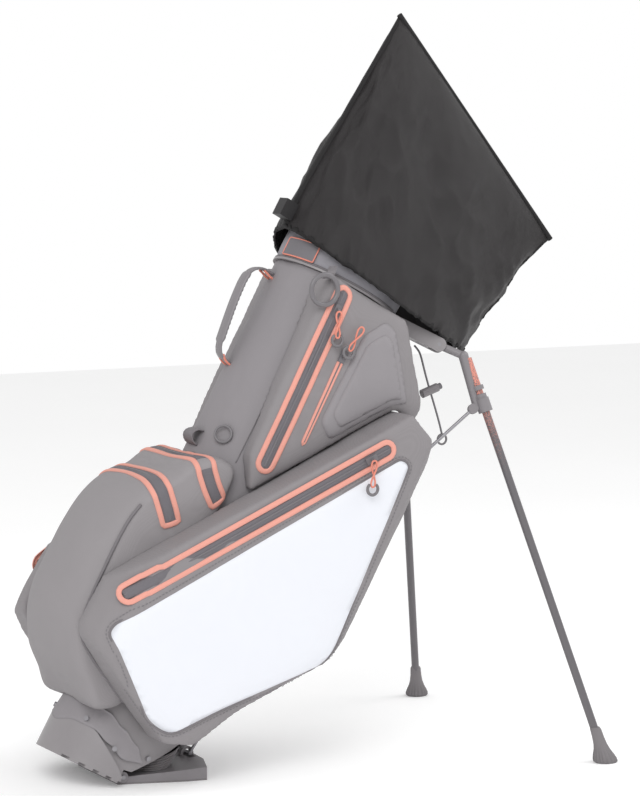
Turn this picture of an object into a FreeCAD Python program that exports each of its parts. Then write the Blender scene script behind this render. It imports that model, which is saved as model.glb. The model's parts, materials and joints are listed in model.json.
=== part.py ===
"""Golf stand bag with fold-out legs and a rain hood, built as separate named pieces.

Two frames are used.
* The bag frame: origin on the foot hinge, +Z up the bag's own axis, +X towards the legs,
  -Y towards the side with the long zip.  Everything that leans is drawn here and then
  leaned over as one by the placement that `lean` gives it.
* The level frame: same origin, but +Z straight up.  The pivoting foot and the rubber leg
  feet, which rest on the ground, are drawn here and raised by `stand_level`.
Lengths are millimetres and angles are degrees.
"""
import FreeCAD, Part
import math
import os
import re

import Sketcher
from FreeCAD import Placement, Rotation, Vector

DOC = FreeCAD.newDocument("StandBag")
SHEET = DOC.addObject("Spreadsheet::Sheet", "Sizes")

# ------------------------------------------------------------------ driving dimensions
SIZES = {
    # stance
    "lean_angle": 29.4, "hinge_height": 12, "fit_gap": 0.5, "run_gap": 0.08,
    # body tube, an oval
    "tube_wide": 104, "tube_deep": 96, "tube_wall": 2.5, "tube_low": 150.5, "tube_high": 829,
    # base cup and heel
    "cup_wide": 100, "cup_deep": 92, "cup_wall": 4, "cup_low": -6, "cup_floor": 14, "cup_high": 150,
    "heel_wide": 108, "heel_deep": 99, "heel_low": -12, "heel_high": 60, "heel_back": -11,
    "notch_first": -95, "notch_wide": 9, "notch_tall": 4, "notch_pitch": 20,
    "rivet_radius": 4, "rivet_tall": 3, "rivet_stand": 0.6,
    "boot_wide": 90, "boot_deep": 88, "boot_wall": 7,
    # foot hinge
    "pin_radius": 3.5, "pin_half": 82, "knuckle_radius": 8.5, "foot_knuckle_in": 62,
    "foot_knuckle_out": 80, "bag_knuckle_in": 30, "bag_knuckle_out": 60,
    # pivoting foot
    "foot_half": 109, "tread_thick": 3, "rod_x": 140, "rod_z": 12, "rod_eye_x": 137.7, "rod_eye_z": 11.6,
    "rod_eye_bore": 6.6, "rod_eye_radius": 11, "rod_eye_in": 12, "rod_eye_out": 20,
    # spine, slider and rods
    "spine_half": 18, "spine_x": 138, "spine_low": 175, "spine_high": 760,
    "rail_half": 6, "rail_x": 149, "rail_low": 330, "rail_high": 470,
    "bar_x": 155, "bar_z": 440, "bar_radius": 3, "bar_half": 47,
    "slider_half": 17, "slider_front": 139, "slider_back": 168, "slider_tall": 32,
    "rod_radius": 2.5, "rod_y": 24, "rod_eye_wall": 3, "rod_eye_half": 3.2, "foot_bar_radius": 2.9,
    # legs
    "pivot_x": 170, "pivot_y": 78, "pivot_z": 826, "fold_turn": 65.7,
    "collar_x": 262, "collar_y": 129, "collar_z": 771,
    "sole_x": 648.3, "sole_y": 292.2, "sole_z": 351.5,
    "leg_radius": 6.35, "leg_wall": 1.2, "tube_above": 78, "tube_short": 12,
    "arm_radius": 8, "arm_lower_radius": 6, "knuckle_half": 6.2, "leg_knuckle_radius": 9.5,
    "pivot_pin_radius": 3, "ear_thick": 5, "ear_radius": 11, "ear_reach": 95, "ear_slot_in": 13,
    "collar_radius": 11.5, "collar_tall": 22, "clip_tall": 7, "clip_pitch": 14,
    "strut_offset": 18, "strut_radius": 2.6, "strut_eye_radius": 5.5, "strut_pin_radius": 2.2,
    "strut_eye_half": 3.3, "fork_radius": 8, "fork_thick": 3, "strut_y": 36,
    "loop_ring": 12, "loop_wire": 2.4, "loop_off_x": -1.3, "loop_off_y": 0.6, "loop_off_z": 5.1,
    "leg_foot_top": 9.5, "leg_foot_low": 15, "leg_foot_tall": 62, "pad_long": 30, "pad_wide": 22,
    "pad_tall": 9,
    # collar, cuff and divider
    "collar_ring_wide": 100, "collar_ring_deep": 91.5, "collar_ring_wall": 5, "collar_low": 829.5,
    "collar_high": 895, "lip_wide": 108, "lip_deep": 100, "lip_high": 833,
    "band_low": 806, "band_front": 90,
    "cuff_wide": 107, "cuff_deep": 98.5, "cuff_low": 833.5, "cuff_high": 890,
    "patch_low": 835, "patch_high": 868, "patch_thick": 1.3,
    "divider_half": 1.5, "divider_low": 640, "divider_high": 822,
    "stay_half": 8, "stay_thick": 3, "stay_low": 165, "stay_high": 815,
    # pockets
    "garment_in": 55, "garment_out": 113, "eva_thick": 4,
    "side_in": 58, "side_out": 168, "side_low": 60, "side_high": 700, "panel_thick": 3,
    "garment_low": 440, "garment_high": 840,
    # zips
    "track_thick": 2.2, "tape_thick": 1.2, "track_wide": 34, "track_gap": 15, "slim_wide": 11,
    "slim_gap": 5, "slider_wide": 11, "slider_long": 20, "slider_thick": 6,
    "long_x": -42, "long_z": 806, "long_span": 284, "long_tilt": -1.35, "long_slider_down": 25,
    "slim_x": 3, "slim_z": 724, "slim_span": 146, "slim_tilt": -1.5,
    "side_x": 115, "side_z": 624, "side_span": 474, "side_tilt": 37.1, "side_slider_down": 30,
    "pull_long": 38, "pull_wire": 1.6, "pull_ring": 8.5, "pull_ring_wire": 2.2, "pull_stand": 4,
    "upper_radius": 119.6, "upper_x": -105.7, "upper_z": 320.9, "upper_tilt": 62.5,
    "lower_radius": 107.3, "lower_x": -51.1, "lower_z": 402.3, "lower_tilt": 52.1,
    "arch_wide": 28, "arch_gap": 9, "arch_sweep": 130, "arch_slider_at": 28,
    # soft fittings
    "handle_half": 19, "handle_y": 12, "hip_half": 36, "hip_in": 138.6, "hip_out": 158,
    "hip_low": 478, "hip_high": 690, "hip_round": 8,
    "web_slack": 2, "ring_x": -78, "ring_y": 123, "ring_z": 798, "ring_radius": 23, "ring_wire": 4,
    "dee_x": -91.4, "dee_y": 55.5, "dee_z": 537.3, "dee_radius": 13, "dee_wire": 2.2, "dee_turn": 47,
    # umbrella cord
    "cord_x": 127, "cord_y": 45, "cord_z": 812.5, "cord_bend_x": 160, "cord_bend_z": 808,
    "cord_end_x": 265, "cord_end_z": 713.5, "cord_radius": 1.8, "lock_down": 68, "lock_half": 15,
    "lock_radius": 7, "button_radius": 5, "button_long": 11, "cord_ring": 7, "cord_ring_wire": 1.3,
    # rain hood: hem and ridge ends on the centre plane
    "hem_front_x": -127, "hem_front_z": 876, "hem_back_x": 253, "hem_back_z": 861,
    "ridge_front_x": -109, "ridge_front_z": 1261, "ridge_back_x": 318, "ridge_back_z": 1089,
    "hood_deep": 119, "ridge_deep": 7, "hood_skin": 2.5, "hood_middle": 0.345,
    "binding_tall": 8, "binding_out": 2, "clip_out": 22, "clip_half": 13, "clip_low": 886,
    "clip_high": 914,
}

# Corners of the flat outlines.  Each becomes a pair of cells, NAME_x0, NAME_z0 and so on.
OUTLINES = {
    # side view (x, z) in the bag frame
    "ball_pocket": ((-60, 92), (-100, 68), (-123, 92), (-173, 132), (-208, 175), (-221, 215),
                    (-221, 310), (-212, 360), (-198, 392), (-176, 420), (-150, 437),
                    (-131, 473), (-98, 500), (-60, 500)),
    "side_pocket": ((-6, 70), (40, 88), (78, 157), (158, 260), (196, 309), (208, 342), (204, 560),
                    (200, 650), (186, 676), (134, 694), (-196, 256), (-208, 236), (-206, 200),
                    (-188, 162), (-128, 128), (-70, 101)),
    "side_panel": ((-8, 87), (44, 148), (177, 286), (186, 316), (163, 621), (146, 623),
                   (-166, 197), (-168, 181), (-48, 91)),
    "garment_pocket": ((-36, 473), (10, 534), (88, 638), (133, 698.5), (186, 686), (192, 702),
                       (127, 772), (82, 827), (-76, 827), (-62, 522)),
    "eva_panel": ((46, 602), (122, 702), (142, 712), (130, 726), (66, 802), (46, 806), (20, 768),
                  (18, 620)),
    "heel_rim": ((-120, 38), (-108, 38), (-100, 48), (-87, 50), (-71, 44), (-55, 32), (-39, 21),
                 (-21, 8), (-8, -4), (-8, 90), (-120, 90)),
    "cup_under": ((-11, -20), (-11, 10.5), (2, 12.5), (118, 134), (130, 134), (130, -20)),
    "well_under": ((-6, 0), (-6, 14), (118, 143), (130, 143), (130, 0)),
    "boot": ((15, 13.5), (92, 62), (92, 103), (88, 100), (15, 23)),
    "handle": ((-105.5, 806), (-127, 803), (-142, 790), (-145, 770), (-139, 700), (-130, 655),
               (-105.5, 643), (-105.5, 650), (-125, 662), (-134, 702), (-140, 770), (-137, 787),
               (-125, 797), (-105.5, 799)),
    # plan view (x, y) in the bag frame
    "side_plan": ((30, -58), (106, -58), (208, -134), (206, -150), (186, -166), (150, -168),
                  (-148, -168), (-180, -150), (-196, -122), (-196, -101), (30, -101)),
    "ball_plan": ((-60, -99.5), (-190, -99.5), (-202, -88), (-215, -52), (-221, 0), (-215, 52),
                  (-202, 88), (-190, 99.5), (-60, 99.5)),
    "garment_plan": ((30, -58), (98, -58), (146, -104), (172, -109), (172, -113), (-66, -113),
                     (-80, -62), (-40, -58)),
    # side view (x, z) in the level frame
    "foot_side": ((-6, -9), (150, -9), (150, 10), (-6, -1)),
    # plan view (x, y) in the level frame
    "foot_plan": ((-6, -74), (96, -104), (128, -109), (146, -60), (150, 0), (146, 60), (128, 109),
                  (96, 104), (-6, 74)),
}
RIVETS = ((-88, 56), (-41, 33), (18, 42), (68, 98))


def fill_sheet():
    """Write every driving dimension and outline corner as one aliased cell."""
    cells = dict(SIZES)
    for stem, corners in OUTLINES.items():
        for index, (across, up) in enumerate(corners):
            cells[f"{stem}_x{index}"] = across
            cells[f"{stem}_z{index}"] = up
    for row, (alias, amount) in enumerate(cells.items(), start=1):
        SHEET.set(f"A{row}", alias)
        SHEET.set(f"B{row}", str(amount))
        SHEET.setAlias(f"B{row}", alias)
    DOC.recompute()


def formula(text):
    """Point each alias in a plain formula at its spreadsheet cell."""
    return re.sub(r"[a-z_]+[a-z_0-9]*", lambda word: "Sizes." + word.group(0)
                  if word.group(0) in SIZES else word.group(0), text)


def size(alias):
    """The number held in one cell."""
    return float(SHEET.get(alias))


def bind(obj, **links):
    for name, text in links.items():
        obj.setExpression(name, formula(text))
    return obj


# ------------------------------------------------------------------ building blocks
SUB_PARTS = {}


def leaned(obj):
    """Lean a finished shape of the bag over the foot hinge."""
    obj.Placement = Placement(Vector(), Rotation(Vector(0, 1, 0), 1))
    obj.setExpression("Placement.Rotation.Angle", formula("lean_angle"))
    obj.setExpression("Placement.Base.z", formula("hinge_height"))
    return obj


def lean(obj, label):
    """Lean a finished piece and list it as a sub-part."""
    obj.Label = label
    SUB_PARTS[label] = leaned(obj)
    return obj


def stand_level(obj, label):
    """Name a finished piece that rests on the ground and raise it to the hinge height."""
    obj.Label = label
    obj.setExpression("Placement.Base.z", formula("hinge_height"))
    SUB_PARTS[label] = obj
    return obj


def mirrored(source, label):
    """The same piece on the other side of the bag."""
    copy = DOC.addObject("Part::Mirroring", label)
    copy.Source = source
    copy.Normal = Vector(0, 1, 0)
    copy.Label = label
    SUB_PARTS[label] = copy
    return copy


def block(name, low, high):
    """A box between two corners given as formulas."""
    box = DOC.addObject("Part::Box", name)
    bind(box, Length=f"({high[0]}) - ({low[0]})", Width=f"({high[1]}) - ({low[1]})",
         Height=f"({high[2]}) - ({low[2]})")
    for letter, text in zip("xyz", low):
        box.setExpression(f"Placement.Base.{letter}", formula(text))
    return box


def round_bar(name, radius, length, place):
    """A cylinder whose local +Z runs along the placement's own Z."""
    bar = DOC.addObject("Part::Cylinder", name)
    bar.Placement = place
    return bind(bar, Radius=radius, Height=length)


def cross_bar(name, radius, at, low, high):
    """A cylinder across the bag, along Y from low to high, at (x, z)."""
    bar = DOC.addObject("Part::Cylinder", name)
    bar.Placement = Placement(Vector(), Rotation(Vector(1, 0, 0), -90))
    bind(bar, Radius=radius, Height=f"({high}) - ({low})")
    for letter, text in zip("xyz", (at[0], low, at[1])):
        bar.setExpression(f"Placement.Base.{letter}", formula(text))
    return bar


def ring(name, radius, wire, place):
    hoop = DOC.addObject("Part::Torus", name)
    hoop.Placement = place
    return bind(hoop, Radius1=radius, Radius2=wire)


def oval(name, wide, deep, low, high):
    """An upright oval column from low to high."""
    outline = DOC.addObject("Part::Ellipse", name + "_outline")
    bind(outline, MajorRadius=wide, MinorRadius=deep)
    outline.setExpression("Placement.Base.z", formula(low))
    column = DOC.addObject("Part::Extrusion", name)
    column.Base = outline
    column.DirMode = "Custom"
    column.Dir = Vector(0, 0, 1)
    column.Solid = True
    return bind(column, LengthFwd=f"({high}) - ({low})")


def cut(name, base, *tools):
    for index, tool in enumerate(tools):
        step = DOC.addObject("Part::Cut", f"{name}_{index}")
        step.Base = base
        step.Tool = tool
        base = step
    return base


def fuse(name, *shapes):
    joined = DOC.addObject("Part::MultiFuse", name)
    joined.Shapes = list(shapes)
    return joined


def common(name, *shapes):
    shared = DOC.addObject("Part::MultiCommon", name)
    shared.Shapes = list(shapes)
    return shared


def group(name, *shapes):
    held = DOC.addObject("Part::Compound", name)
    held.Links = list(shapes)
    return held


def oval_ring(name, wide, deep, wall, low, high):
    return cut(name, oval(name + "_out", wide, deep, low, high),
               oval(name + "_in", f"{wide} - {wall}", f"{deep} - {wall}", f"{low} - 1",
                    f"{high} + 1"))


def outline_body(name, stem, plane, start, length):
    """A PartDesign body: the named outline padded from `start` by `length`.

    On XZ_Plane the pad grows towards -Y, so `start` counts from the centre plane outwards.
    """
    body = DOC.addObject("PartDesign::Body", name)
    sketch = body.newObject("Sketcher::SketchObject", name + "_sketch")
    support = next(item for item in body.Origin.OriginFeatures if item.Role == plane)
    sketch.AttachmentSupport = [(support, "")]
    sketch.MapMode = "FlatFace"
    sketch.setExpression("AttachmentOffset.Base.z", formula(start))
    points = [Vector(across, up, 0) for across, up in OUTLINES[stem]]
    count = len(points)
    for index, point in enumerate(points):
        sketch.addGeometry(Part.LineSegment(point, points[(index + 1) % count]), False)
    for index, point in enumerate(points):
        sketch.addConstraint(Sketcher.Constraint("Coincident", index, 2, (index + 1) % count, 1))
        for kind, letter, amount in (("DistanceX", "x", point.x), ("DistanceY", "z", point.y)):
            number = sketch.addConstraint(Sketcher.Constraint(kind, -1, 1, index, 1, amount))
            sketch.setExpression(f"Constraints[{number}]", f"Sizes.{stem}_{letter}{index}")
    pad = body.newObject("PartDesign::Pad", name + "_pad")
    pad.Profile = sketch
    bind(pad, Length=length)
    return body


def shaped(name, shape):
    """A Part::Feature holding a shape made with Part's own functions."""
    feature = DOC.addObject("Part::Feature", name)
    feature.Shape = shape
    return feature


def tube_room(name):
    """The space that the body tube and a small gap take, for fitting pockets against it."""
    return oval(name, "tube_wide + fit_gap", "tube_deep + fit_gap", "cup_low - 60",
                "collar_high + 10")


def pointing(start, direction):
    """A placement at `start` whose local Z runs along `direction`."""
    return Placement(start, Rotation(Vector(0, 0, 1), direction))


# ------------------------------------------------------------------ base and pivoting foot
def make_foot():
    """The plate that stays flat on the ground, its rubber tread and the hinge pin."""
    plan = outline_body("foot_outline", "foot_plan", "XY_Plane", "-hinge_height", "40")
    side = outline_body("foot_wedge", "foot_side", "XZ_Plane", "-foot_half", "2 * foot_half")
    plate = common("foot_plate_blank", plan, side)
    knuckles, lugs, bores = [], [], []
    for hand in (-1, 1):
        knuckles.append(cross_bar(f"foot_knuckle{hand}", "knuckle_radius", ("0", "0"),
                                  *sorted_pair(hand, "foot_knuckle_in", "foot_knuckle_out")))
        near, far = sorted_pair(hand, "rod_eye_in", "rod_eye_out")
        lugs.append(cross_bar(f"rod_lug{hand}", "rod_eye_radius", ("rod_eye_x", "rod_eye_z"),
                              near, far))
        lugs.append(block(f"rod_lug_web{hand}", ("rod_eye_x - rod_eye_radius", near, "-2"),
                          ("rod_eye_x + rod_eye_radius", far, "rod_eye_z")))
    bores.append(cross_bar("pin_bore", "pin_radius + 0.02", ("0", "0"), "-90", "90"))
    bores.append(cross_bar("rod_bore", "rod_eye_bore", ("rod_eye_x", "rod_eye_z"), "-40", "40"))
    bores.append(cross_bar("knuckle_room", "knuckle_radius + 1.5", ("0", "0"),
                           "-foot_knuckle_in", "foot_knuckle_in"))
    bores.append(block("knuckle_gap", ("-20", "-foot_knuckle_in", "-20"),
                       ("5", "foot_knuckle_in", "20")))
    body = fuse("foot_plate_joined", plate, *knuckles, *lugs)
    stand_level(cut("foot_plate", body, *bores), "foot_plate")

    tread = outline_body("tread_outline", "foot_plan", "XY_Plane", "-hinge_height", "tread_thick")
    arch = block("tread_arch", ("28", "-80", "-hinge_height - 1"), ("104", "80", "0"))
    stand_level(cut("foot_tread", tread, arch), "foot_tread")

    pin = cross_bar("hinge_pin_bar", "pin_radius", ("0", "0"), "-pin_half", "pin_half")
    stand_level(group("foot_hinge_pin", pin), "foot_hinge_pin")


def sorted_pair(hand, inner, outer):
    """The two Y formulas, low then high, of a span on one side of the centre plane."""
    return (f"-{outer}", f"-{inner}") if hand < 0 else (inner, outer)


def make_base():
    """The base cup, the heel shell moulded round it, its rivets and the rubber boot."""
    outer = oval("cup_outer", "cup_wide", "cup_deep", "cup_low", "cup_high")
    inner = oval("cup_inner", "cup_wide - cup_wall", "cup_deep - cup_wall", "cup_floor",
                 "cup_high + 1")
    hollow = cut("cup_hollow", inner,
                 outline_body("cup_well_under", "well_under", "XZ_Plane", "-130", "260"))
    shell = cut("cup_shell", outer,
                outline_body("cup_cut_under", "cup_under", "XZ_Plane", "-130", "260"), hollow)
    knuckles, webs = [], []
    for hand in (-1, 1):
        low, high = sorted_pair(hand, "bag_knuckle_in", "bag_knuckle_out")
        knuckles.append(cross_bar(f"bag_knuckle{hand}", "knuckle_radius", ("0", "0"), low, high))
        webs.append(block(f"bag_web{hand}", ("-13", low, "-4"), ("1", high, "16")))
    bore = cross_bar("bag_pin_bore", "pin_radius + run_gap", ("0", "0"), "-90", "90")
    joined = fuse("base_cup_joined", shell, *knuckles, *webs)
    lean(cut("base_cup", joined, bore), "base_cup")

    skin = oval("heel_skin", "heel_wide", "heel_deep", "heel_low", "heel_high")
    hole = oval("heel_hole", "cup_wide + fit_gap", "cup_deep + fit_gap", "cup_low - fit_gap",
                "heel_high + 1")
    above = outline_body("heel_above", "heel_rim", "XZ_Plane", "-130", "260")
    behind = block("heel_behind", ("heel_back", "-130", "heel_low - 1"), ("200", "130", "100"))
    notches = []
    for index in range(5):
        start = f"notch_first + {index} * notch_pitch"
        notches.append(block(f"heel_notch{index}", (start, "-130", "heel_low - 1"),
                             (f"{start} + notch_wide", "130", "heel_low + notch_tall")))
    lean(cut("heel_shell", skin, hole, above, behind, *notches), "heel_shell")

    studs = []
    for number, (across, up) in enumerate(RIVETS):
        stem = "heel" if across < size("heel_back") else "cup"
        wide, deep = size(f"{stem}_wide"), size(f"{stem}_deep")
        reach = deep * math.sqrt(1 - (across / wide) ** 2)
        outward = Vector(across / wide ** 2, -reach / deep ** 2, 0)
        outward.normalize()
        # A rivet head stands just clear of the skin that it clamps.
        start = Vector(across, -reach, up) + outward * size("rivet_stand")
        for hand in (1, -1):
            seat = Vector(start.x, start.y * hand, start.z)
            way = Vector(outward.x, outward.y * hand, 0)
            studs.append(round_bar(f"rivet{number}_{hand}", "rivet_radius", "rivet_tall",
                                   pointing(seat, way)))
    lean(group("base_rivets", *studs), "base_rivets")

    blank = outline_body("boot_outline", "boot", "XZ_Plane", "-130", "260")
    ring_out = oval("boot_out", "boot_wide", "boot_deep", "0", "160")
    ring_in = oval("boot_in", "boot_wide - boot_wall", "boot_deep - boot_wall", "-1", "161")
    lean(cut("base_boot", common("boot_blank", blank, ring_out), ring_in), "base_boot")


# ------------------------------------------------------------------ body, collar and cuff
def make_body():
    """The oval body tube with its spine, stays, divider and hip pad."""
    lean(oval_ring("body_tube", "tube_wide", "tube_deep", "tube_wall", "tube_low", "tube_high"),
         "body_tube")

    channel = block("spine_channel", ("90", "-spine_half", "spine_low"),
                    ("spine_x", "spine_half", "spine_high"))
    rail = block("spine_rail", ("spine_x - 1", "-rail_half", "rail_low"),
                 ("rail_x", "rail_half", "rail_high"))
    lean(cut("spine_stay", fuse("spine_joined", channel, rail), tube_room("spine_room")),
         "spine_stay")

    stays = []
    for hand in (-1, 1):
        stay = block(f"stay{hand}", ("-stay_half", "0", "stay_low"),
                     ("stay_half", "stay_thick", "stay_high"))
        stay.setExpression("Placement.Base.y", formula(
            "tube_deep - tube_wall - 0.8 - stay_thick" if hand > 0 else
            "-(tube_deep - tube_wall - 0.8)"))
        stays.append(stay)
    lean(group("side_stays", *stays), "side_stays")

    long_wall = block("divider_long", ("-tube_wide + 4", "-divider_half", "divider_low"),
                      ("tube_wide - 4", "divider_half", "divider_high"))
    short_wall = block("divider_short", ("-divider_half", "-tube_deep + 8", "divider_low"),
                       ("divider_half", "tube_deep - 8", "divider_high"))
    lean(fuse("divider_cross", long_wall, short_wall), "divider_cross")

    pad = block("hip_block", ("hip_in", "-hip_half", "hip_low"),
                ("hip_out", "hip_half", "hip_high"))
    DOC.recompute()
    rounded = DOC.addObject("Part::Fillet", "hip_pad")
    rounded.Base = pad
    rounded.Edges = [(index + 1, size("hip_round"), size("hip_round"))
                     for index, edge in enumerate(pad.Shape.Edges)
                     if edge.BoundBox.XMin > size("hip_out") - 1]
    lean(rounded, "hip_pad")


def fold_axis():
    """Unit vector of the near leg's hinge, level in the bag frame."""
    turn = math.radians(size("fold_turn"))
    return Vector(math.cos(turn), math.sin(turn), 0)


def near_point(stem):
    """A leg point on the near side, from its three cells."""
    return Vector(size(stem + "_x"), -size(stem + "_y"), size(stem + "_z"))


def make_collar():
    """The moulded ring round the mouth, with the ears that carry the legs."""
    upright = oval_ring("mouth_ring", "collar_ring_wide", "collar_ring_deep",
                        "collar_ring_wall", "collar_low", "collar_high")
    lip = oval_ring("mouth_lip", "lip_wide", "lip_deep", "10", "collar_low", "lip_high")
    band = cut("rear_band",
               oval("rear_band_out", "lip_wide", "lip_deep", "band_low", "collar_low + 1"),
               tube_room("rear_band_room"),
               block("rear_band_front", ("-200", "-150", "band_low - 1"),
                     ("band_front", "150", "collar_high")))
    axis = fold_axis()
    outward = Vector(axis.y, -axis.x, 0)
    pivot = near_point("pivot")
    half = size("knuckle_half") + size("ear_thick") + 0.4
    ears = []
    for hand in (1, -1):
        way = Vector(outward.x, outward.y * hand, 0)
        hinge = Vector(axis.x, axis.y * hand, 0)
        centre = Vector(pivot.x, pivot.y * hand, pivot.z)
        frame = Placement(centre, Rotation(way, hinge.cross(way), hinge, "ZXY"))
        arm = DOC.addObject("Part::Box", f"ear_arm{hand}")
        bind(arm, Length="ear_reach", Width="2 * ear_radius", Height="2 * (knuckle_half + ear_thick + 0.4)")
        arm.Placement = frame.multiply(Placement(
            Vector(-size("ear_reach"), -size("ear_radius"), -half), Rotation()))
        nose = round_bar(f"ear_nose{hand}", "ear_radius", "2 * (knuckle_half + ear_thick + 0.4)",
                         frame.multiply(Placement(Vector(0, 0, -half), Rotation())))
        slot = DOC.addObject("Part::Box", f"ear_slot{hand}")
        bind(slot, Length="40", Width="60", Height="2 * (knuckle_half + 0.3)")
        slot.Placement = frame.multiply(Placement(
            Vector(-size("ear_slot_in"), -30, -size("knuckle_half") - 0.3), Rotation()))
        hole = round_bar(f"ear_hole{hand}", "pivot_pin_radius + 0.02", "60",
                         frame.multiply(Placement(Vector(0, 0, -30), Rotation())))
        ears.append(cut(f"ear{hand}", fuse(f"ear_blank{hand}", arm, nose), slot, hole,
                        tube_room(f"ear_tube_room{hand}"),
                        oval(f"ear_cuff_room{hand}", "cuff_wide + fit_gap", "cuff_deep + fit_gap",
                             "cuff_low - fit_gap", "cuff_high")))
    lean(fuse("top_collar", upright, lip, band, *ears), "top_collar")

    pins = []
    for hand in (1, -1):
        hinge = Vector(axis.x, axis.y * hand, 0)
        start = Vector(pivot.x, pivot.y * hand, pivot.z) - hinge * half
        pins.append(round_bar(f"pivot_pin{hand}", "pivot_pin_radius",
                              "2 * (knuckle_half + ear_thick + 0.4)", pointing(start, hinge)))
    lean(group("leg_pivot_pins", *pins), "leg_pivot_pins")


def make_cuff():
    """The padded cuff, its blank patch, the lift handle and the sewn webbing loops."""
    pad = oval_ring("cuff_pad", "cuff_wide", "cuff_deep", "6.5", "cuff_low", "cuff_high")
    lean(pad, "cuff_pad")

    skin = oval_ring("patch_skin", "cuff_wide + 0.3 + patch_thick", "cuff_deep + 0.3 + patch_thick",
                     "patch_thick", "patch_low", "patch_high")
    window = block("patch_window", ("-125", "-62", "patch_low"), ("-70", "2", "patch_high"))
    lean(common("cuff_patch", skin, window), "cuff_patch")

    strap = outline_body("handle_strap", "handle", "XZ_Plane", "-handle_y - handle_half",
                         "2 * handle_half")
    lean(strap, "lift_handle")

    ring_tab = block("ring_tab", ("ring_x - 9", "-ring_y - 7", "ring_z + ring_radius - 3"),
                     ("ring_x + 9", "-ring_y + 7", "ring_z + ring_radius + 8"))
    ring_hole = round_bar("ring_tab_hole", "ring_wire + web_slack", "40", Placement(
        near_ring_centre() + Vector(-20, 0, size("ring_radius") - size("web_slack") / 2),
        Rotation(Vector(0, 1, 0), 90)))
    anchor = block("ring_anchor", ("ring_x - 9", "-ring_y + 6", "ring_z + ring_radius - 3"),
                   ("ring_x + 9", "-60", "ring_z + ring_radius + 8"))
    tab = cut("ring_tab_open", fuse("ring_tab_joined", ring_tab, anchor), ring_hole,
              tube_room("ring_tab_room"),
              outline_body("ring_tab_pocket", "garment_pocket", "XZ_Plane", "0", "garment_out + 0.5"))
    dee_tab = cut("dee_tab", dee_anchor(), tube_room("dee_room"))
    glove = cut("glove_tab", cross_bar("glove_bar", "15", ("-111", "520"), "-18", "18"),
                tube_room("glove_room"),
                outline_body("glove_ball", "ball_pocket", "XZ_Plane", "-100", "200"))
    lean(group("webbing_loops", tab, dee_tab, glove), "webbing_loops")


def near_ring_centre():
    return Vector(size("ring_x"), -size("ring_y"), size("ring_z"))


def dee_frame():
    """Frame of the accessory ring: local X points away from the tube wall."""
    turn = Rotation(Vector(0, 0, 1), 180 + size("dee_turn"))
    return Placement(Vector(size("dee_x"), -size("dee_y"), size("dee_z")), turn)


def dee_anchor():
    """The short webbing tab that holds the accessory ring, with room for the wire."""
    frame = dee_frame()
    tab = DOC.addObject("Part::Box", "dee_block")
    bind(tab, Length="24", Width="14", Height="16")
    tab.Placement = frame.multiply(Placement(Vector(-16, -7, size("dee_radius") - 6), Rotation()))
    hole = round_bar("dee_hole", "dee_wire + web_slack", "60", frame.multiply(Placement(
        Vector(0, -30, size("dee_radius") - size("web_slack") / 2),
        Rotation(Vector(1, 0, 0), -90))))
    return cut("dee_tab_open", tab, hole)


def make_loose_rings():
    """The towel ring and the accessory ring, which swing in their webbing loops."""
    towel = ring("towel_hoop", "ring_radius", "ring_wire",
                 Placement(near_ring_centre(), Rotation(Vector(1, 0, 0), 90)))
    lean(group("towel_ring", towel), "towel_ring")
    dee = ring("dee_hoop", "dee_radius", "dee_wire",
               dee_frame().multiply(Placement(Vector(), Rotation(Vector(0, 1, 0), 90))))
    lean(group("accessory_ring", dee), "accessory_ring")


# ------------------------------------------------------------------ pockets
def make_pockets():
    """Ball pocket, two side pockets and two garment pockets, with their outer panels."""
    ball = common("ball_common",
                  outline_body("ball_blank", "ball_pocket", "XZ_Plane", "-120", "240"),
                  outline_body("ball_plan_body", "ball_plan", "XY_Plane", "side_low", "500"))
    lean(cut("ball_pocket", ball, tube_room("ball_tube_room"),
             oval("ball_heel_room", "heel_wide + 1", "heel_deep + 1", "-20", "heel_high + 1"),
             arch_room("upper"), arch_room("lower")), "ball_pocket")

    side = outline_body("side_blank", "side_pocket", "XZ_Plane", "side_in", "side_out - side_in")
    plan = outline_body("side_plan_body", "side_plan", "XY_Plane", "side_low",
                        "side_high - side_low")
    pocket = cut("side_pocket", common("side_common", side, plan), tube_room("side_tube_room"))
    lean(pocket, "side_pocket_near")
    mirrored(pocket, "side_pocket_far")

    panel = outline_body("side_panel", "side_panel", "XZ_Plane", "side_out + fit_gap",
                         "panel_thick")
    lean(panel, "side_panel_near")
    mirrored(panel, "side_panel_far")

    upper = outline_body("garment_blank", "garment_pocket", "XZ_Plane", "garment_in",
                         "garment_out - garment_in")
    upper_plan = outline_body("garment_plan_body", "garment_plan", "XY_Plane", "garment_low",
                              "garment_high - garment_low")
    garment = cut("garment_pocket", common("garment_common", upper, upper_plan),
                  tube_room("garment_tube_room"))
    lean(garment, "garment_pocket_near")
    mirrored(garment, "garment_pocket_far")

    eva = outline_body("eva_panel", "eva_panel", "XZ_Plane", "garment_out + fit_gap", "eva_thick")
    lean(eva, "eva_panel_near")
    mirrored(eva, "eva_panel_far")


# ------------------------------------------------------------------ zips
def zip_frame(stem, depth, down=0):
    """Frame at the zip's top, moved down its line, with local -Z running down the zip."""
    turn = Rotation(Vector(0, 1, 0), size(stem + "_tilt"))
    top = Vector(size(stem + "_x"), -depth, size(stem + "_z"))
    return Placement(top + turn.multVec(Vector(0, 0, -down)), turn)


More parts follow.
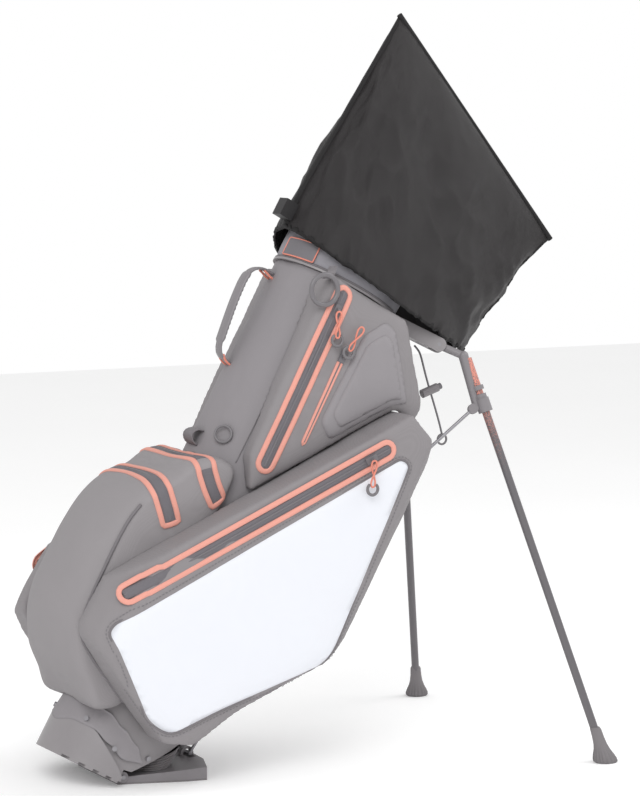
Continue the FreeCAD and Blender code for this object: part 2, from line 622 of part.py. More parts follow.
def slot_plate(name, stem, width, depth, thick):
    """A round-ended strip along a zip, from y = -depth outwards by `thick`."""
    frame = zip_frame(stem, depth)
    span = size(stem + "_span")
    strip = DOC.addObject("Part::Box", name + "_strip")
    bind(strip, Length=width, Width=thick, Height=f"{stem}_span")
    DOC.recompute()
    half = strip.Length.Value / 2
    thickness = strip.Width.Value
    strip.Placement = frame.multiply(Placement(Vector(-half, -thickness, -span), Rotation()))
    ends = []
    for tag, down in (("top", 0), ("low", span)):
        end = DOC.addObject("Part::Cylinder", f"{name}_{tag}")
        bind(end, Radius=f"({width}) / 2", Height=thick)
        end.Placement = frame.multiply(Placement(Vector(0, 0, -down),
                                                 Rotation(Vector(1, 0, 0), 90)))
        ends.append(end)
    return fuse(name, strip, *ends)


def zip_track(name, stem, width, gap, depth):
    """The welded surround of a zip and, inside it, the zip's own tape."""
    depth = depth + 0.1
    rim = cut(name + "_rim", slot_plate(name + "_out", stem, width, depth, "track_thick"),
              slot_plate(name + "_gap", stem, gap, depth - 1, "track_thick + 2"))
    tape = slot_plate(name + "_tape", stem, f"{gap} - 1", depth, "tape_thick")
    return group(name, rim, tape)


def zip_slider(name, stem, depth, down, width="slider_wide"):
    """The slider body, with an eye for its pull on the outer face."""
    frame = zip_frame(stem, depth, down)
    body = DOC.addObject("Part::Box", name + "_body")
    bind(body, Length=width, Width="slider_thick", Height="slider_long")
    DOC.recompute()
    half = body.Length.Value / 2
    thick = body.Width.Value
    long = body.Height.Value
    body.Placement = frame.multiply(Placement(Vector(-half, -thick, -long / 2), Rotation()))
    eye = DOC.addObject("Part::Cylinder", name + "_eye")
    bind(eye, Radius="3.4", Height="3")
    eye.Placement = frame.multiply(Placement(Vector(-1.5, -thick - 1.6, 0),
                                             Rotation(Vector(0, 1, 0), 90)))
    return fuse(name, body, eye)


def zip_pull(name, stem, depth, down, hang):
    """A cord pull that hangs from the slider's eye, ending in a ring.

    `hang` is the angle of the pull from the bag's -Z towards +X.
    """
    frame = zip_frame(stem, depth, down)
    start = frame.multVec(Vector(0, -size("slider_thick") - size("pull_stand") - 3, 0))
    way = Vector(math.sin(math.radians(hang)), 0, -math.cos(math.radians(hang)))
    cord = round_bar(name + "_cord", "pull_wire", "pull_long", pointing(start, way))
    centre = start + way * (size("pull_long") + size("pull_ring") - 0.5)
    loop = ring(name + "_ring", "pull_ring", "pull_ring_wire",
                Placement(centre, Rotation(Vector(1, 0, 0), 90)))
    return fuse(name, cord, loop)


def make_zips():
    face = size("garment_out")
    outer = size("side_out") + size("fit_gap")
    lift = size("tape_thick") + 0.3
    lean(zip_track("long_zip_track", "long", "track_wide", "track_gap", face), "long_zip_track")
    lean(zip_slider("long_slider", "long", face + lift, size("long_slider_down")),
         "long_zip_slider")
    lean(zip_pull("long_pull", "long", face + lift, size("long_slider_down"),
                  size("lean_angle")), "long_zip_pull")

    lean(zip_track("slim_zip_track", "slim", "slim_wide", "slim_gap", face), "slim_zip_track")
    slim_depth = face + size("track_thick") + 0.4
    lean(zip_slider("slim_slider", "slim", slim_depth, 0, "slim_wide"), "slim_zip_slider")
    lean(zip_pull("slim_pull", "slim", slim_depth, 0, 175), "slim_zip_pull")

    track = lean(zip_track("side_track", "side", "track_wide", "track_gap", size("side_out")),
                 "side_zip_track_near")
    mirrored(track, "side_zip_track_far")
    lean(zip_slider("side_slider", "side", size("side_out") + lift, size("side_slider_down")),
         "side_zip_slider_near")
    lean(zip_pull("side_pull", "side", outer + lift, size("side_slider_down"),
                  size("lean_angle")), "side_zip_pull_near")
    far_slider = zip_slider("far_slider", "side", size("side_out") + lift,
                            size("side_slider_down"))
    far_pull = zip_pull("far_pull", "side", outer + lift, size("side_slider_down"),
                        size("lean_angle"))
    joined = leaned(fuse("far_slider_pull", far_slider, far_pull, pull_stem()))
    mirrored(joined, "side_zip_slider_far")

    tracks, sliders = [], {}
    for stem in ("upper", "lower"):
        tracks.extend(cut(f"{stem}_fit{number}", piece, tube_room(f"{stem}_fit_room{number}"))
                      for number, piece in enumerate(arch_track(stem)))
        sliders[stem] = arch_slider(stem)
    lean(group("ball_zip_tracks", *tracks), "ball_zip_tracks")
    for stem, slider in sliders.items():
        lean(slider, f"ball_zip_slider_{stem}")


def pull_stem():
    """The bridge between the far slider's eye and its fixed pull."""
    frame = zip_frame("side", size("side_out") + size("tape_thick") + 0.3,
                      size("side_slider_down"))
    stem = DOC.addObject("Part::Cylinder", "far_pull_stem")
    bind(stem, Radius="2.4", Height="slider_thick + pull_stand + 5")
    stem.Placement = frame.multiply(Placement(Vector(), Rotation(Vector(1, 0, 0), 90)))
    return stem


def arch_frame(stem):
    """Frame at the centre of a zip that arches over the ball pocket, from side to side.

    Local Z is the arch's axis and local X points to its crest.
    """
    tilt = math.radians(size(stem + "_tilt"))
    crest = Vector(-math.cos(tilt), 0, math.sin(tilt))
    side = Vector(0, 1, 0)
    axis = crest.cross(side)
    return Placement(Vector(size(stem + "_x"), 0, size(stem + "_z")),
                     Rotation(crest, side, axis, "ZXY"))


def arch_sector(name, stem, radius, width, sweep):
    """A pie slice of a cylinder, centred on the arch's crest."""
    sector = DOC.addObject("Part::Cylinder", name)
    bind(sector, Radius=radius, Height=width, Angle=sweep)
    DOC.recompute()
    sector.Placement = arch_frame(stem).multiply(Placement(
        Vector(0, 0, -sector.Height.Value / 2),
        Rotation(Vector(0, 0, 1), -sector.Angle.Value / 2)))
    return sector


def arch_band(name, stem, low, high, width, sweep):
    return cut(name, arch_sector(name + "_out", stem, high, width, sweep),
               arch_sector(name + "_in", stem, low, f"{width} + 2", f"{sweep} + 4"))


def arch_room(stem):
    """What is shaved off the ball pocket's top so that an arched zip can lie on it."""
    radius = f"{stem}_radius"
    return arch_band(f"{stem}_room", stem, f"{radius} - 0.5", f"{radius} + 90",
                     "arch_wide + 4", "160")


def arch_track(stem):
    radius = f"{stem}_radius"
    rim = cut(f"{stem}_rim", arch_band(f"{stem}_rim_band", stem, radius, f"{radius} + track_thick",
                                       "arch_wide", "arch_sweep"),
              arch_band(f"{stem}_rim_gap", stem, f"{radius} - 2", f"{radius} + 5", "arch_gap",
                        "arch_sweep - 8"))
    tape = arch_band(f"{stem}_tape", stem, radius, f"{radius} + tape_thick", "arch_gap - 1",
                     "arch_sweep - 10")
    return rim, tape


def arch_slider(stem):
    """The slider of an arched zip, parked towards the far side."""
    frame = arch_frame(stem)
    at = Rotation(Vector(0, 0, 1), size("arch_slider_at"))
    body = DOC.addObject("Part::Box", f"{stem}_slider")
    bind(body, Length="slider_thick", Width="slider_long", Height="arch_gap - 1")
    DOC.recompute()
    # The slider's flat sole clears the curved tape under it.
    stand = size(f"{stem}_radius") + size("tape_thick") + 0.8
    corner = Vector(stand, -body.Width.Value / 2, -body.Height.Value / 2)
    body.Placement = frame.multiply(Placement(Vector(), at)).multiply(
        Placement(corner, Rotation()))
    return group(f"{stem}_slider_group", body)


# ------------------------------------------------------------------ leg mechanism
def make_slider_and_rods():
    """The block that rides the spine and the two rods that the foot pushes it with."""
    body = block("slider_body", ("slider_front", "-slider_half", "bar_z - slider_tall / 2"),
                 ("slider_back", "slider_half", "bar_z + slider_tall / 2"))
    groove = block("slider_groove", ("slider_front - 1", "-rail_half - 0.3", "bar_z - 40"),
                   ("rail_x + 0.4", "rail_half + 0.3", "bar_z + 40"))
    bar = cross_bar("slider_bar", "bar_radius", ("bar_x", "bar_z"), "-bar_half", "bar_half")
    lean(fuse("slider_block", cut("slider_grooved", body, groove), bar), "slider_block")

    top = Vector(size("bar_x"), 0, size("bar_z"))
    low = foot_rod_point()
    run = (low - top)
    length = run.Length
    run.normalize()
    pieces = []
    for hand in (-1, 1):
        side = Vector(0, hand * size("rod_y"), 0)
        rod = round_bar(f"rod{hand}", "rod_radius", str(length - size("bar_radius") - 1.2),
                        pointing(top + side + run * (size("bar_radius") + 1.2), run))
        eye = cross_bar(f"rod_eye{hand}", "bar_radius + rod_eye_wall", ("bar_x", "bar_z"),
                        f"{hand} * rod_y - rod_eye_half", f"{hand} * rod_y + rod_eye_half")
        pieces.extend([rod, eye])
    foot_bar = DOC.addObject("Part::Cylinder", "rod_foot_bar")
    bind(foot_bar, Radius="foot_bar_radius", Height="2 * rod_y + 8")
    foot_bar.Placement = Placement(low + Vector(0, -size("rod_y") - 4, 0),
                                   Rotation(Vector(1, 0, 0), -90))
    bore = cross_bar("rod_top_bore", "bar_radius + run_gap", ("bar_x", "bar_z"), "-60", "60")
    lean(cut("push_rods", fuse("rods_joined", *pieces, foot_bar), bore), "push_rods")


def foot_rod_point():
    """Where the rods meet the foot, in the bag frame, with the foot flat on the ground."""
    turn = Rotation(Vector(0, 1, 0), -size("lean_angle"))
    return turn.multVec(Vector(size("rod_x"), 0, size("rod_z")))


def leg_points():
    """Collar, sole and the tube's unit direction for the near leg, in the bag frame."""
    collar = near_point("collar")
    sole = near_point("sole")
    way = sole - collar
    way.normalize()
    return collar, sole, way


def strut_points():
    """Strut pivot beside the collar and the slider's bar end, for the near leg."""
    collar, sole, way = leg_points()
    axis = fold_axis()
    bar_end = Vector(size("bar_x"), -size("strut_y"), size("bar_z"))
    inward = bar_end - collar
    inward -= way * inward.dot(way)
    inward -= axis * inward.dot(axis)
    inward.normalize()
    return collar + inward * size("strut_offset"), bar_end


def make_leg():
    """Near leg: bracket arm, alloy tube and rubber foot.  The far leg mirrors it."""
    collar, sole, way = leg_points()
    axis = fold_axis()
    pivot = near_point("pivot")
    strut_top, bar_end = strut_points()
    inward = strut_top - collar
    inward.normalize()

    tube_top = collar - way * size("tube_above")
    long = (sole - tube_top).Length - size("tube_short")
    outer = round_bar("leg_tube_out", "leg_radius", str(long), pointing(tube_top, way))
    bore = round_bar("leg_tube_in", "leg_radius - leg_wall", str(long + 2),
                     pointing(tube_top - way, way))
    tube = cut("leg_tube", outer, bore)
    lean(tube, "leg_tube_near")
    mirrored(tube, "leg_tube_far")

    half = size("knuckle_half")
    knuckle = round_bar("arm_knuckle", "leg_knuckle_radius", "2 * knuckle_half",
                        pointing(pivot - axis * half, axis))
    side = inward * (size("leg_radius") + size("arm_lower_radius") - 0.5)
    shoulder = tube_top - way * 6 + inward * 5
    lower = collar + side
    upper_run = shoulder - pivot
    lower_run = lower - shoulder
    upper = round_bar("arm_upper", "knuckle_half", str(upper_run.Length),
                      pointing(pivot, upper_run))
    bend = DOC.addObject("Part::Sphere", "arm_bend")
    bind(bend, Radius="arm_radius")
    bend.Placement = Placement(shoulder, Rotation())
    down = DOC.addObject("Part::Cone", "arm_lower")
    bind(down, Radius1="arm_radius", Radius2="arm_lower_radius", Height=str(lower_run.Length))
    down.Placement = pointing(shoulder, lower_run)
    clamp = round_bar("arm_collar", "collar_radius", "collar_tall",
                      pointing(collar - way * size("collar_tall") / 2, way))
    clips = [round_bar(f"arm_clip{step}", "leg_radius + 3.2", "clip_tall",
                       pointing(collar - way * (18 + step * size("clip_pitch")), way))
             for step in range(2)]
    forks = []
    for hand in (-1, 1):
        near = size("strut_eye_half") + 0.3
        start = strut_top + axis * (near if hand > 0 else -near - size("fork_thick"))
        forks.append(round_bar(f"fork{hand}", "fork_radius", "fork_thick", pointing(start, axis)))
    gap = round_bar("fork_gap", "strut_eye_radius + 1.2", str(2 * size("strut_eye_half") + 0.6),
                    pointing(strut_top - axis * (size("strut_eye_half") + 0.3), axis))
    reach = size("strut_eye_half") + 0.3 + size("fork_thick")
    strut_pin = round_bar("strut_pin", "strut_pin_radius", str(2 * reach),
                          pointing(strut_top - axis * reach, axis))
    solid = cut("arm_solid", fuse("arm_joined", knuckle, upper, bend, down, clamp, *clips, *forks),
                gap,
                round_bar("arm_tube_room", "leg_radius + 0.05", "140",
                          pointing(collar - way * (size("tube_above") + 0.05), way)),
                round_bar("arm_pin_bore", "pivot_pin_radius + run_gap", "40",
                          pointing(pivot - axis * 20, axis)),
                *[round_bar(f"arm_cheek_room{hand}", "ear_radius + 0.6", "14",
                            pointing(pivot + axis * hand * (half + 0.05), axis * hand))
                  for hand in (-1, 1)])
    arm = fuse("leg_arm", solid, strut_pin)
    lean(arm, "leg_arm_near")
    mirrored(arm, "leg_arm_far")

    make_strut(strut_top, bar_end, axis)
    make_leg_foot()


def make_strut(strut_top, bar_end, axis):
    """The link from the slider's bar to the leg collar, with a wide eye round the bar."""
    # The eye is larger than the bar, because the linkage is opened here.
    centre = bar_end + Vector(*(size(f"loop_off_{letter}") for letter in "xyz"))
    run = centre - strut_top
    length = run.Length
    run.normalize()
    start = strut_top + run * (size("strut_eye_radius") - 1)
    rod = round_bar("strut_rod", "strut_radius",
                    str(length - size("loop_ring") - size("strut_eye_radius") + 1),
                    pointing(start, run))
    eye = round_bar("strut_eye", "strut_eye_radius", "2 * strut_eye_half",
                    pointing(strut_top - axis * size("strut_eye_half"), axis))
    loop = ring("strut_loop", "loop_ring", "loop_wire", pointing(centre, axis))
    bore = round_bar("strut_bore", "strut_pin_radius + run_gap", "30",
                     pointing(strut_top - axis * 15, axis))
    strut = cut("strut", fuse("strut_joined", rod, eye, loop), bore)
    lean(strut, "strut_near")
    mirrored(strut, "strut_far")


def make_leg_foot():
    """The flared rubber foot on the near leg's end, with a flat sole on the ground."""
    collar, sole, way = leg_points()
    level = Rotation(Vector(0, 1, 0), size("lean_angle"))
    down = level.multVec(way)
    ground = level.multVec(sole)
    drop = -size("hinge_height")
    sleeve = DOC.addObject("Part::Cone", "leg_foot_sleeve")
    bind(sleeve, Radius1="leg_foot_top", Radius2="leg_foot_low", Height="leg_foot_tall")
    sleeve.Placement = pointing(ground - down * size("leg_foot_tall") + down * 4, down)
    outline = DOC.addObject("Part::Ellipse", "leg_foot_outline")
    bind(outline, MajorRadius="pad_long", MinorRadius="pad_wide")
    outline.Placement = Placement(Vector(ground.x, ground.y, drop), Rotation())
    pad = DOC.addObject("Part::Extrusion", "leg_foot_pad")
    pad.Base = outline
    pad.DirMode = "Custom"
    pad.Dir = Vector(0, 0, 1)
    pad.Solid = True
    bind(pad, LengthFwd="pad_tall")
    under = DOC.addObject("Part::Box", "leg_foot_under")
    bind(under, Length="120", Width="120", Height="60")
    under.Placement = Placement(Vector(ground.x - 60, ground.y - 60, drop - 60), Rotation())
    bore = round_bar("leg_foot_bore", "leg_radius + 0.05", "80",
                     pointing(ground - down * (size("tube_short") - 0.3) - down * 80, down))
    foot = cut("leg_foot", fuse("leg_foot_joined", sleeve, pad), under, bore)
    stand_level(foot, "leg_foot_near")
    mirrored(foot, "leg_foot_far")


# ------------------------------------------------------------------ umbrella cord
def cord_points():
    across = -size("cord_y")
    return [Vector(size(f"{stem}_x"), across, size(f"{stem}_z"))
            for stem in ("cord", "cord_bend", "cord_end")]


def make_cord():
    """The umbrella cord with its end ring, and the spring lock that slides on it."""
    top, bend, end = cord_points()
    pieces = [round_bar("cord_upper", "cord_radius", str((bend - top).Length),
                        pointing(top, bend - top)),
              round_bar("cord_lower", "cord_radius", str((end - bend).Length),
                        pointing(bend, end - bend))]
    knot = DOC.addObject("Part::Sphere", "cord_knot")
    bind(knot, Radius="cord_radius")
    knot.Placement = Placement(bend, Rotation())
    run = end - bend
    run.normalize()
    hoop = ring("cord_hoop", "cord_ring", "cord_ring_wire",
                Placement(end + run * (size("cord_ring") - 0.5), Rotation(Vector(1, 0, 0), 90)))
    lean(fuse("umbrella_cord", *pieces, knot, hoop), "umbrella_cord")

    seat = bend + run * size("lock_down")
    across = Vector(0, -1, 0).cross(run)
    barrel = round_bar("lock_barrel", "lock_radius", "2 * lock_half",
                       pointing(seat - across * size("lock_half"), across))
    well = round_bar("lock_well", "button_radius + 0.4", "16",
                     pointing(seat + across * 6, across))
    bore = round_bar("lock_bore", "cord_radius + 0.1", "40", pointing(seat - run * 20, run))
    lean(cut("cord_lock", barrel, well, bore), "cord_lock")
    button = round_bar("button_stem", "button_radius", "button_long",
                       pointing(seat + across * 10.5, across))
    lean(group("lock_button", button), "lock_button")


# ------------------------------------------------------------------ rain hood
def hood_section(share, inset):
    """One egg-shaped section of the hood, from the hem (share 0) to the ridge (share 1)."""
    def on_line(start, end):
        first = Vector(size(f"{start}_x"), 0, size(f"{start}_z"))
        last = Vector(size(f"{end}_x"), 0, size(f"{end}_z"))
        return first + (last - first) * share
    front = on_line("hem_front", "ridge_front")
    back = on_line("hem_back", "ridge_back")
    along = back - front
    middle = front + along * size("hood_middle")
    deep = size("ridge_deep") + (size("hood_deep") - size("ridge_deep")) * (1 - share) ** 0.7
    deep -= inset
    along.normalize()
    side = Vector(0, 1, 0)
    edges = []
    for reach, toward in (((back - middle).Length - inset, along),
                          ((front - middle).Length - inset, along * -1)):
        if reach >= deep:
            curve = Part.Ellipse(middle + toward * reach, middle + side * deep, middle)
            low, high = -math.pi / 2, math.pi / 2
        else:
            curve = Part.Ellipse(middle + side * deep, middle - toward * reach, middle)
            low, high = -math.pi, 0
        edges.append(Part.Arc(curve, low, high).toShape())
    return Part.Wire(Part.__sortEdges__(edges))


def make_hood():
    """The rain hood over the club heads: a thin skin, its hem binding and its front clip."""
    skin = size("hood_skin")
    shares = (0, 0.35, 0.7, 1)
    outer = Part.makeLoft([hood_section(share, 0) for share in shares], True, False)
    inner = Part.makeLoft([hood_section(share, skin) for share in (-0.02, 0.34, 0.68, 0.985)],
                          True, False)
    lean(shaped("hood_shell", outer.cut(inner)), "hood_shell")

    wall = size("binding_out")
    hem_out = Part.Face(hood_section(0, -wall))
    hem_in = Part.Face(hood_section(0, skin + 0.5))
    slope = Vector(size("hem_back_x") - size("hem_front_x"), 0,
                   size("hem_back_z") - size("hem_front_z"))
    down = slope.cross(Vector(0, 1, 0)).normalize()
    if down.z > 0:
        down = down * -1
    band = hem_out.cut(hem_in).extrude(down * size("binding_tall"))
    band.translate(down * 0.3)
    lean(shaped("hood_binding", band), "hood_binding")

    clip = block("hood_clip", ("hem_front_x - clip_out", "-clip_half", "clip_low"),
                 ("hem_front_x + 1", "clip_half", "clip_high"))
    skin_room = shaped("hood_room", outer)
    lean(cut("hood_buckle", clip, skin_room), "hood_buckle")


# ------------------------------------------------------------------ build, check and write
def check_and_write():
    DOC.recompute()
    failed = [obj.Name for obj in DOC.Objects if "Invalid" in obj.State or "Error" in obj.State]
    if failed:
        raise RuntimeError(f"these objects failed: {failed}")
    os.makedirs("parts", exist_ok=True)
    for label, obj in SUB_PARTS.items():
        shape = obj.Shape
        if shape.isNull() or not shape.isValid() or not shape.Solids:
            raise RuntimeError(f"{label} has no valid solid")
        shape.exportStep(f"parts/{label}.step")
    print(len(SUB_PARTS), "sub-parts written")


fill_sheet()
make_foot()
make_base()
make_body()
make_collar()
make_cuff()
make_loose_rings()
make_pockets()
make_zips()
make_slider_and_rods()
make_leg()
make_cord()
make_hood()
check_and_write()
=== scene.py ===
import json
import math

import bmesh
import bpy
from mathutils import Matrix, Vector, noise
from mathutils.bvhtree import BVHTree

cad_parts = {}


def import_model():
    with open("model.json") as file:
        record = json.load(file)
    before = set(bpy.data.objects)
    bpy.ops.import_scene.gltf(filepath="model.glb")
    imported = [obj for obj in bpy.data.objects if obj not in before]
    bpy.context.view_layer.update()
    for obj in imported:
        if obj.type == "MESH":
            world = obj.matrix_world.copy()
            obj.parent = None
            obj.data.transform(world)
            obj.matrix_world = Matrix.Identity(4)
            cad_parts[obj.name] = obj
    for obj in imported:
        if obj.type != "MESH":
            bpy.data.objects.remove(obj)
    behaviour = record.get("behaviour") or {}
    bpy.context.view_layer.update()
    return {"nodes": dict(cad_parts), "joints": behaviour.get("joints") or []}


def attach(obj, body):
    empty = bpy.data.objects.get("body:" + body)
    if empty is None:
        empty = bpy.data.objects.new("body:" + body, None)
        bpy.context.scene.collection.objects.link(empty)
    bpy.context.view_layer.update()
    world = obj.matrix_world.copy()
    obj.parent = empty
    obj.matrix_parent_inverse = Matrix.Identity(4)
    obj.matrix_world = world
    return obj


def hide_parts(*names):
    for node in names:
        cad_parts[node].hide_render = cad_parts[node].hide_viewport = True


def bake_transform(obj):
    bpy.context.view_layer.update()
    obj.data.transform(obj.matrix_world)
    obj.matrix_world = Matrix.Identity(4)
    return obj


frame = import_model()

NODES = frame["nodes"]
MM = 0.001

# ---------------------------------------------------------------- the bag's own frame, in mm
# x towards the legs, y across the bag, z up along the bag's axis; its origin is the foot hinge
TILT = next(joint for joint in frame["joints"] if joint["name"] == "bag_tilt")
LEAN = math.radians(max(TILT["range_deg"]))
HINGE = Vector((0, 0, 0.012))
BAG = Matrix.Translation(HINGE) @ Matrix.Rotation(LEAN, 4, "Y") @ Matrix.Scale(MM, 4)
TO_BAG = BAG.inverted()
UP = (BAG.to_3x3() @ Vector((0, 0, 1))).normalized()


def world(x, y, z):
    return BAG @ Vector((x, y, z))


def cad_points(node):
    """A CAD node's points in the bag's frame."""
    return [TO_BAG @ vertex.co for vertex in NODES[node].data.vertices]


def cad_span(node):
    """A CAD node's lowest and highest corners in the bag's frame."""
    points = cad_points(node)
    low = Vector([min(p[i] for p in points) for i in range(3)])
    high = Vector([max(p[i] for p in points) for i in range(3)])
    return low, high


# ---------------------------------------------------------------- materials
def tone(red, green, blue):
    """Linear colour from 8-bit display values."""
    linear = []
    for value in (red, green, blue):
        share = value / 255
        linear.append(share / 12.92 if share <= 0.04045 else ((share + 0.055) / 1.055) ** 2.4)
    return (*linear, 1)


class Shader:
    """A node material built one node at a time."""

    def __init__(self, name):
        self.material = bpy.data.materials.new(name)
        self.material.use_nodes = True
        self.tree = self.material.node_tree
        self.main = self.tree.nodes["Principled BSDF"]
        self.place = self.add("ShaderNodeTexCoord").outputs["Object"]

    def add(self, kind, **values):
        node = self.tree.nodes.new(kind)
        for key, value in values.items():
            if hasattr(node, key):
                setattr(node, key, value)
            else:
                node.inputs[key].default_value = value
        return node

    def link(self, source, target):
        self.tree.links.new(source, target)
        return target

    def turned(self, angles):
        mapping = self.add("ShaderNodeMapping", Rotation=angles)
        self.link(self.place, mapping.inputs["Vector"])
        return mapping.outputs["Vector"]

    def noise(self, scale, detail=3.0, vector=None):
        node = self.add("ShaderNodeTexNoise", Scale=scale, Detail=detail)
        self.link(vector or self.place, node.inputs["Vector"])
        return node.outputs["Fac"]

    def wave(self, scale, direction, vector=None):
        node = self.add("ShaderNodeTexWave", Scale=scale, bands_direction=direction)
        self.link(vector or self.place, node.inputs["Vector"])
        return node.outputs["Fac"]

    def maths(self, operation, first, second=0.0):
        node = self.add("ShaderNodeMath", operation=operation)
        for socket, value in zip(node.inputs, (first, second)):
            if isinstance(value, (int, float)):
                socket.default_value = value
            else:
                self.link(value, socket)
        return node.outputs[0]

    def mixed(self, share, first, second):
        node = self.add("ShaderNodeMix", data_type="RGBA")
        self.link(share, node.inputs["Factor"])
        for socket, value in ((node.inputs[6], first), (node.inputs[7], second)):
            if isinstance(value, tuple):
                socket.default_value = value
            else:
                self.link(value, socket)
        return node.outputs[2]

    def colour(self, source):
        self.link(source, self.main.inputs["Base Color"])

    def relief(self, height, strength, distance=0.001):
        bump = self.add("ShaderNodeBump", Strength=strength, Distance=distance)
        self.link(height, bump.inputs["Height"])
        self.link(bump.outputs["Normal"], self.main.inputs["Normal"])

    def rough(self, low, high, share):
        span = self.maths("MULTIPLY_ADD", share, high - low)
        span.node.inputs[2].default_value = low
        self.link(span, self.main.inputs["Roughness"])


def shade(colour, factor):
    return (*(min(1.0, channel * factor) for channel in colour[:3]), 1)


def woven(name, colour, thread=520.0, rough=(0.55, 0.75), strength=0.25, contrast=0.10, twill=False,
          shadow=0.92):
    """Coated cloth: crossed threads, soft clouding and slightly rubbed patches."""
    shader = Shader(name)
    vector = shader.turned((0.5, LEAN + 0.6, 0.7) if twill else (0, LEAN, 0))
    warp = shader.wave(thread, "X", vector)
    weft = shader.wave(thread, "Z", vector)
    across = shader.wave(thread, "Y", vector)
    crossed = shader.maths("MULTIPLY", warp, weft)
    threads = shader.maths("ADD", crossed, shader.maths("MULTIPLY", across, 0.5))
    cloud = shader.noise(14.0, 4.0)
    body = shader.mixed(cloud, shade(colour, 1 - contrast), shade(colour, 1 + contrast))
    shader.colour(shader.mixed(threads, body, shade(colour, shadow)))
    shader.relief(threads, strength, 0.0006)
    shader.rough(*rough, cloud)
    shader.main.inputs["Specular IOR Level"].default_value = 0.35
    return shader.material


def moulded(name, colour, rough=(0.4, 0.6), grain=900.0, strength=0.15, contrast=0.06):
    """Moulded plastic, foam or rubber: fine grain, faint scuffs and uneven gloss."""
    shader = Shader(name)
    fine = shader.noise(grain, 2.0)
    scuff = shader.noise(35.0, 6.0)
    shader.colour(shader.mixed(scuff, shade(colour, 1 - contrast), shade(colour, 1 + contrast)))
    shader.relief(fine, strength, 0.0005)
    shader.rough(*rough, scuff)
    return shader.material


def metal(name, colour, rough=(0.25, 0.45), brushed=700.0):
    """Brushed or painted metal with worn gloss."""
    shader = Shader(name)
    lines = shader.wave(brushed, "Z", shader.turned((0.3, 0.2, 0)))
    wear = shader.noise(60.0, 5.0)
    shader.colour(shader.mixed(wear, shade(colour, 0.86), shade(colour, 1.08)))
    shader.relief(lines, 0.08, 0.0003)
    shader.rough(*rough, wear)
    shader.main.inputs["Metallic"].default_value = 0.55
    return shader.material


def faded_leg(name, top, low, start, end):
    """Painted alloy tube: one colour fading to another down the leg, through fine dots."""
    shader = Shader(name)
    split = shader.add("ShaderNodeSeparateXYZ")
    shader.link(shader.place, split.inputs[0])
    fade = shader.add("ShaderNodeMapRange", **{"From Min": end, "From Max": start})
    shader.link(split.outputs["Z"], fade.inputs["Value"])
    dots = shader.add("ShaderNodeTexVoronoi", Scale=900.0)
    shader.link(shader.place, dots.inputs["Vector"])
    reach = shader.maths("MULTIPLY", dots.outputs["Distance"], 1.6)
    spotted = shader.maths("GREATER_THAN", fade.outputs[0], reach)
    shader.colour(shader.mixed(spotted, low, top))
    shader.rough(0.3, 0.5, shader.noise(80.0))
    shader.main.inputs["Metallic"].default_value = 0.2
    shader.relief(shader.noise(300.0), 0.05, 0.0003)
    return shader.material


CLOTHS = {
    "front_cloth": ((147, 143, 145), {}),
    "side_cloth": ((140, 136, 138), {}),
    "shell_cloth": ((142, 138, 141), {}),
    "cuff_cloth": ((146, 144, 150), {"thread": 420.0, "twill": True}),
    "white_cloth": ((226, 228, 234), {"contrast": 0.012, "strength": 0.05, "shadow": 0.99}),
    "pad_mesh": ((128, 124, 128), {"thread": 260.0, "strength": 0.6}),
    "webbing": ((132, 128, 131), {"thread": 380.0, "strength": 0.6}),
    "coral": ((230, 160, 145), {"thread": 700.0, "rough": (0.45, 0.6), "contrast": 0.05}),
    "coral_cord": ((226, 142, 124), {"thread": 600.0, "contrast": 0.12}),
    "piping": ((120, 116, 119), {"thread": 650.0}),
    "zip_tape": ((116, 113, 118), {"thread": 650.0, "strength": 0.5}),
    "stitch": ((122, 119, 123), {"thread": 900.0}),
    "hood_cloth": ((37, 34, 35), {"thread": 430.0, "rough": (0.34, 0.5), "strength": 0.5,
                                  "contrast": 0.18, "twill": True}),
    "hood_tape": ((24, 22, 23), {"thread": 600.0, "contrast": 0.15}),
}
MOULDINGS = {
    "foam": ((140, 136, 139), {"rough": (0.6, 0.75), "grain": 500.0, "strength": 0.3}),
    "shell_plastic": ((139, 135, 137), {"rough": (0.3, 0.45)}),
    "cup_plastic": ((136, 132, 134), {}),
    "rubber": ((120, 116, 118), {"rough": (0.65, 0.85), "grain": 300.0, "strength": 0.5}),
    "dark_plastic": ((110, 107, 111), {}),
    "ring_plastic": ((112, 109, 112), {"rough": (0.25, 0.4)}),
    "bracket_plastic": ((128, 124, 127), {"rough": (0.35, 0.5)}),
    "buckle_plastic": ((30, 28, 30), {}),
}
LOOKS = {
    "steel": metal("steel", tone(150, 148, 152)),
    "leg_paint": faded_leg("leg_paint", tone(224, 146, 130), tone(104, 101, 104), 0.60, 0.43),
}
for make, table in ((woven, CLOTHS), (moulded, MOULDINGS)):
    for name, (colour, settings) in table.items():
        LOOKS[name] = make(name, tone(*colour), **settings)


def dress(mesh, look):
    mesh.materials.clear()
    mesh.materials.append(LOOKS[look])


# ---------------------------------------------------------------- making and finishing pieces
# cloth: frames run and pressure in the simulation, smoothing rounds before it, then in metres how far
# it may sink and how deep its wide and fine wrinkles go
CLOTH_FRAMES, PRESSURE, ROUNDINGS = 20, 4.0, 5
DENT, WRINKLE, CRINKLE = 0.0005, 0.0016, 0.0007
# trims: how deep a band's edges are tucked in (metres), and how wide a panel's rolled edge is (mm)
TUCK, ROLLED_EDGE = 0.0004, 5.0


def add_piece(name, verts, faces, look, body, replaces=()):
    mesh = bpy.data.meshes.new(name)
    mesh.from_pydata([tuple(v) for v in verts], [], faces)
    mesh.update()
    return finish_piece(name, mesh, look, body, replaces)


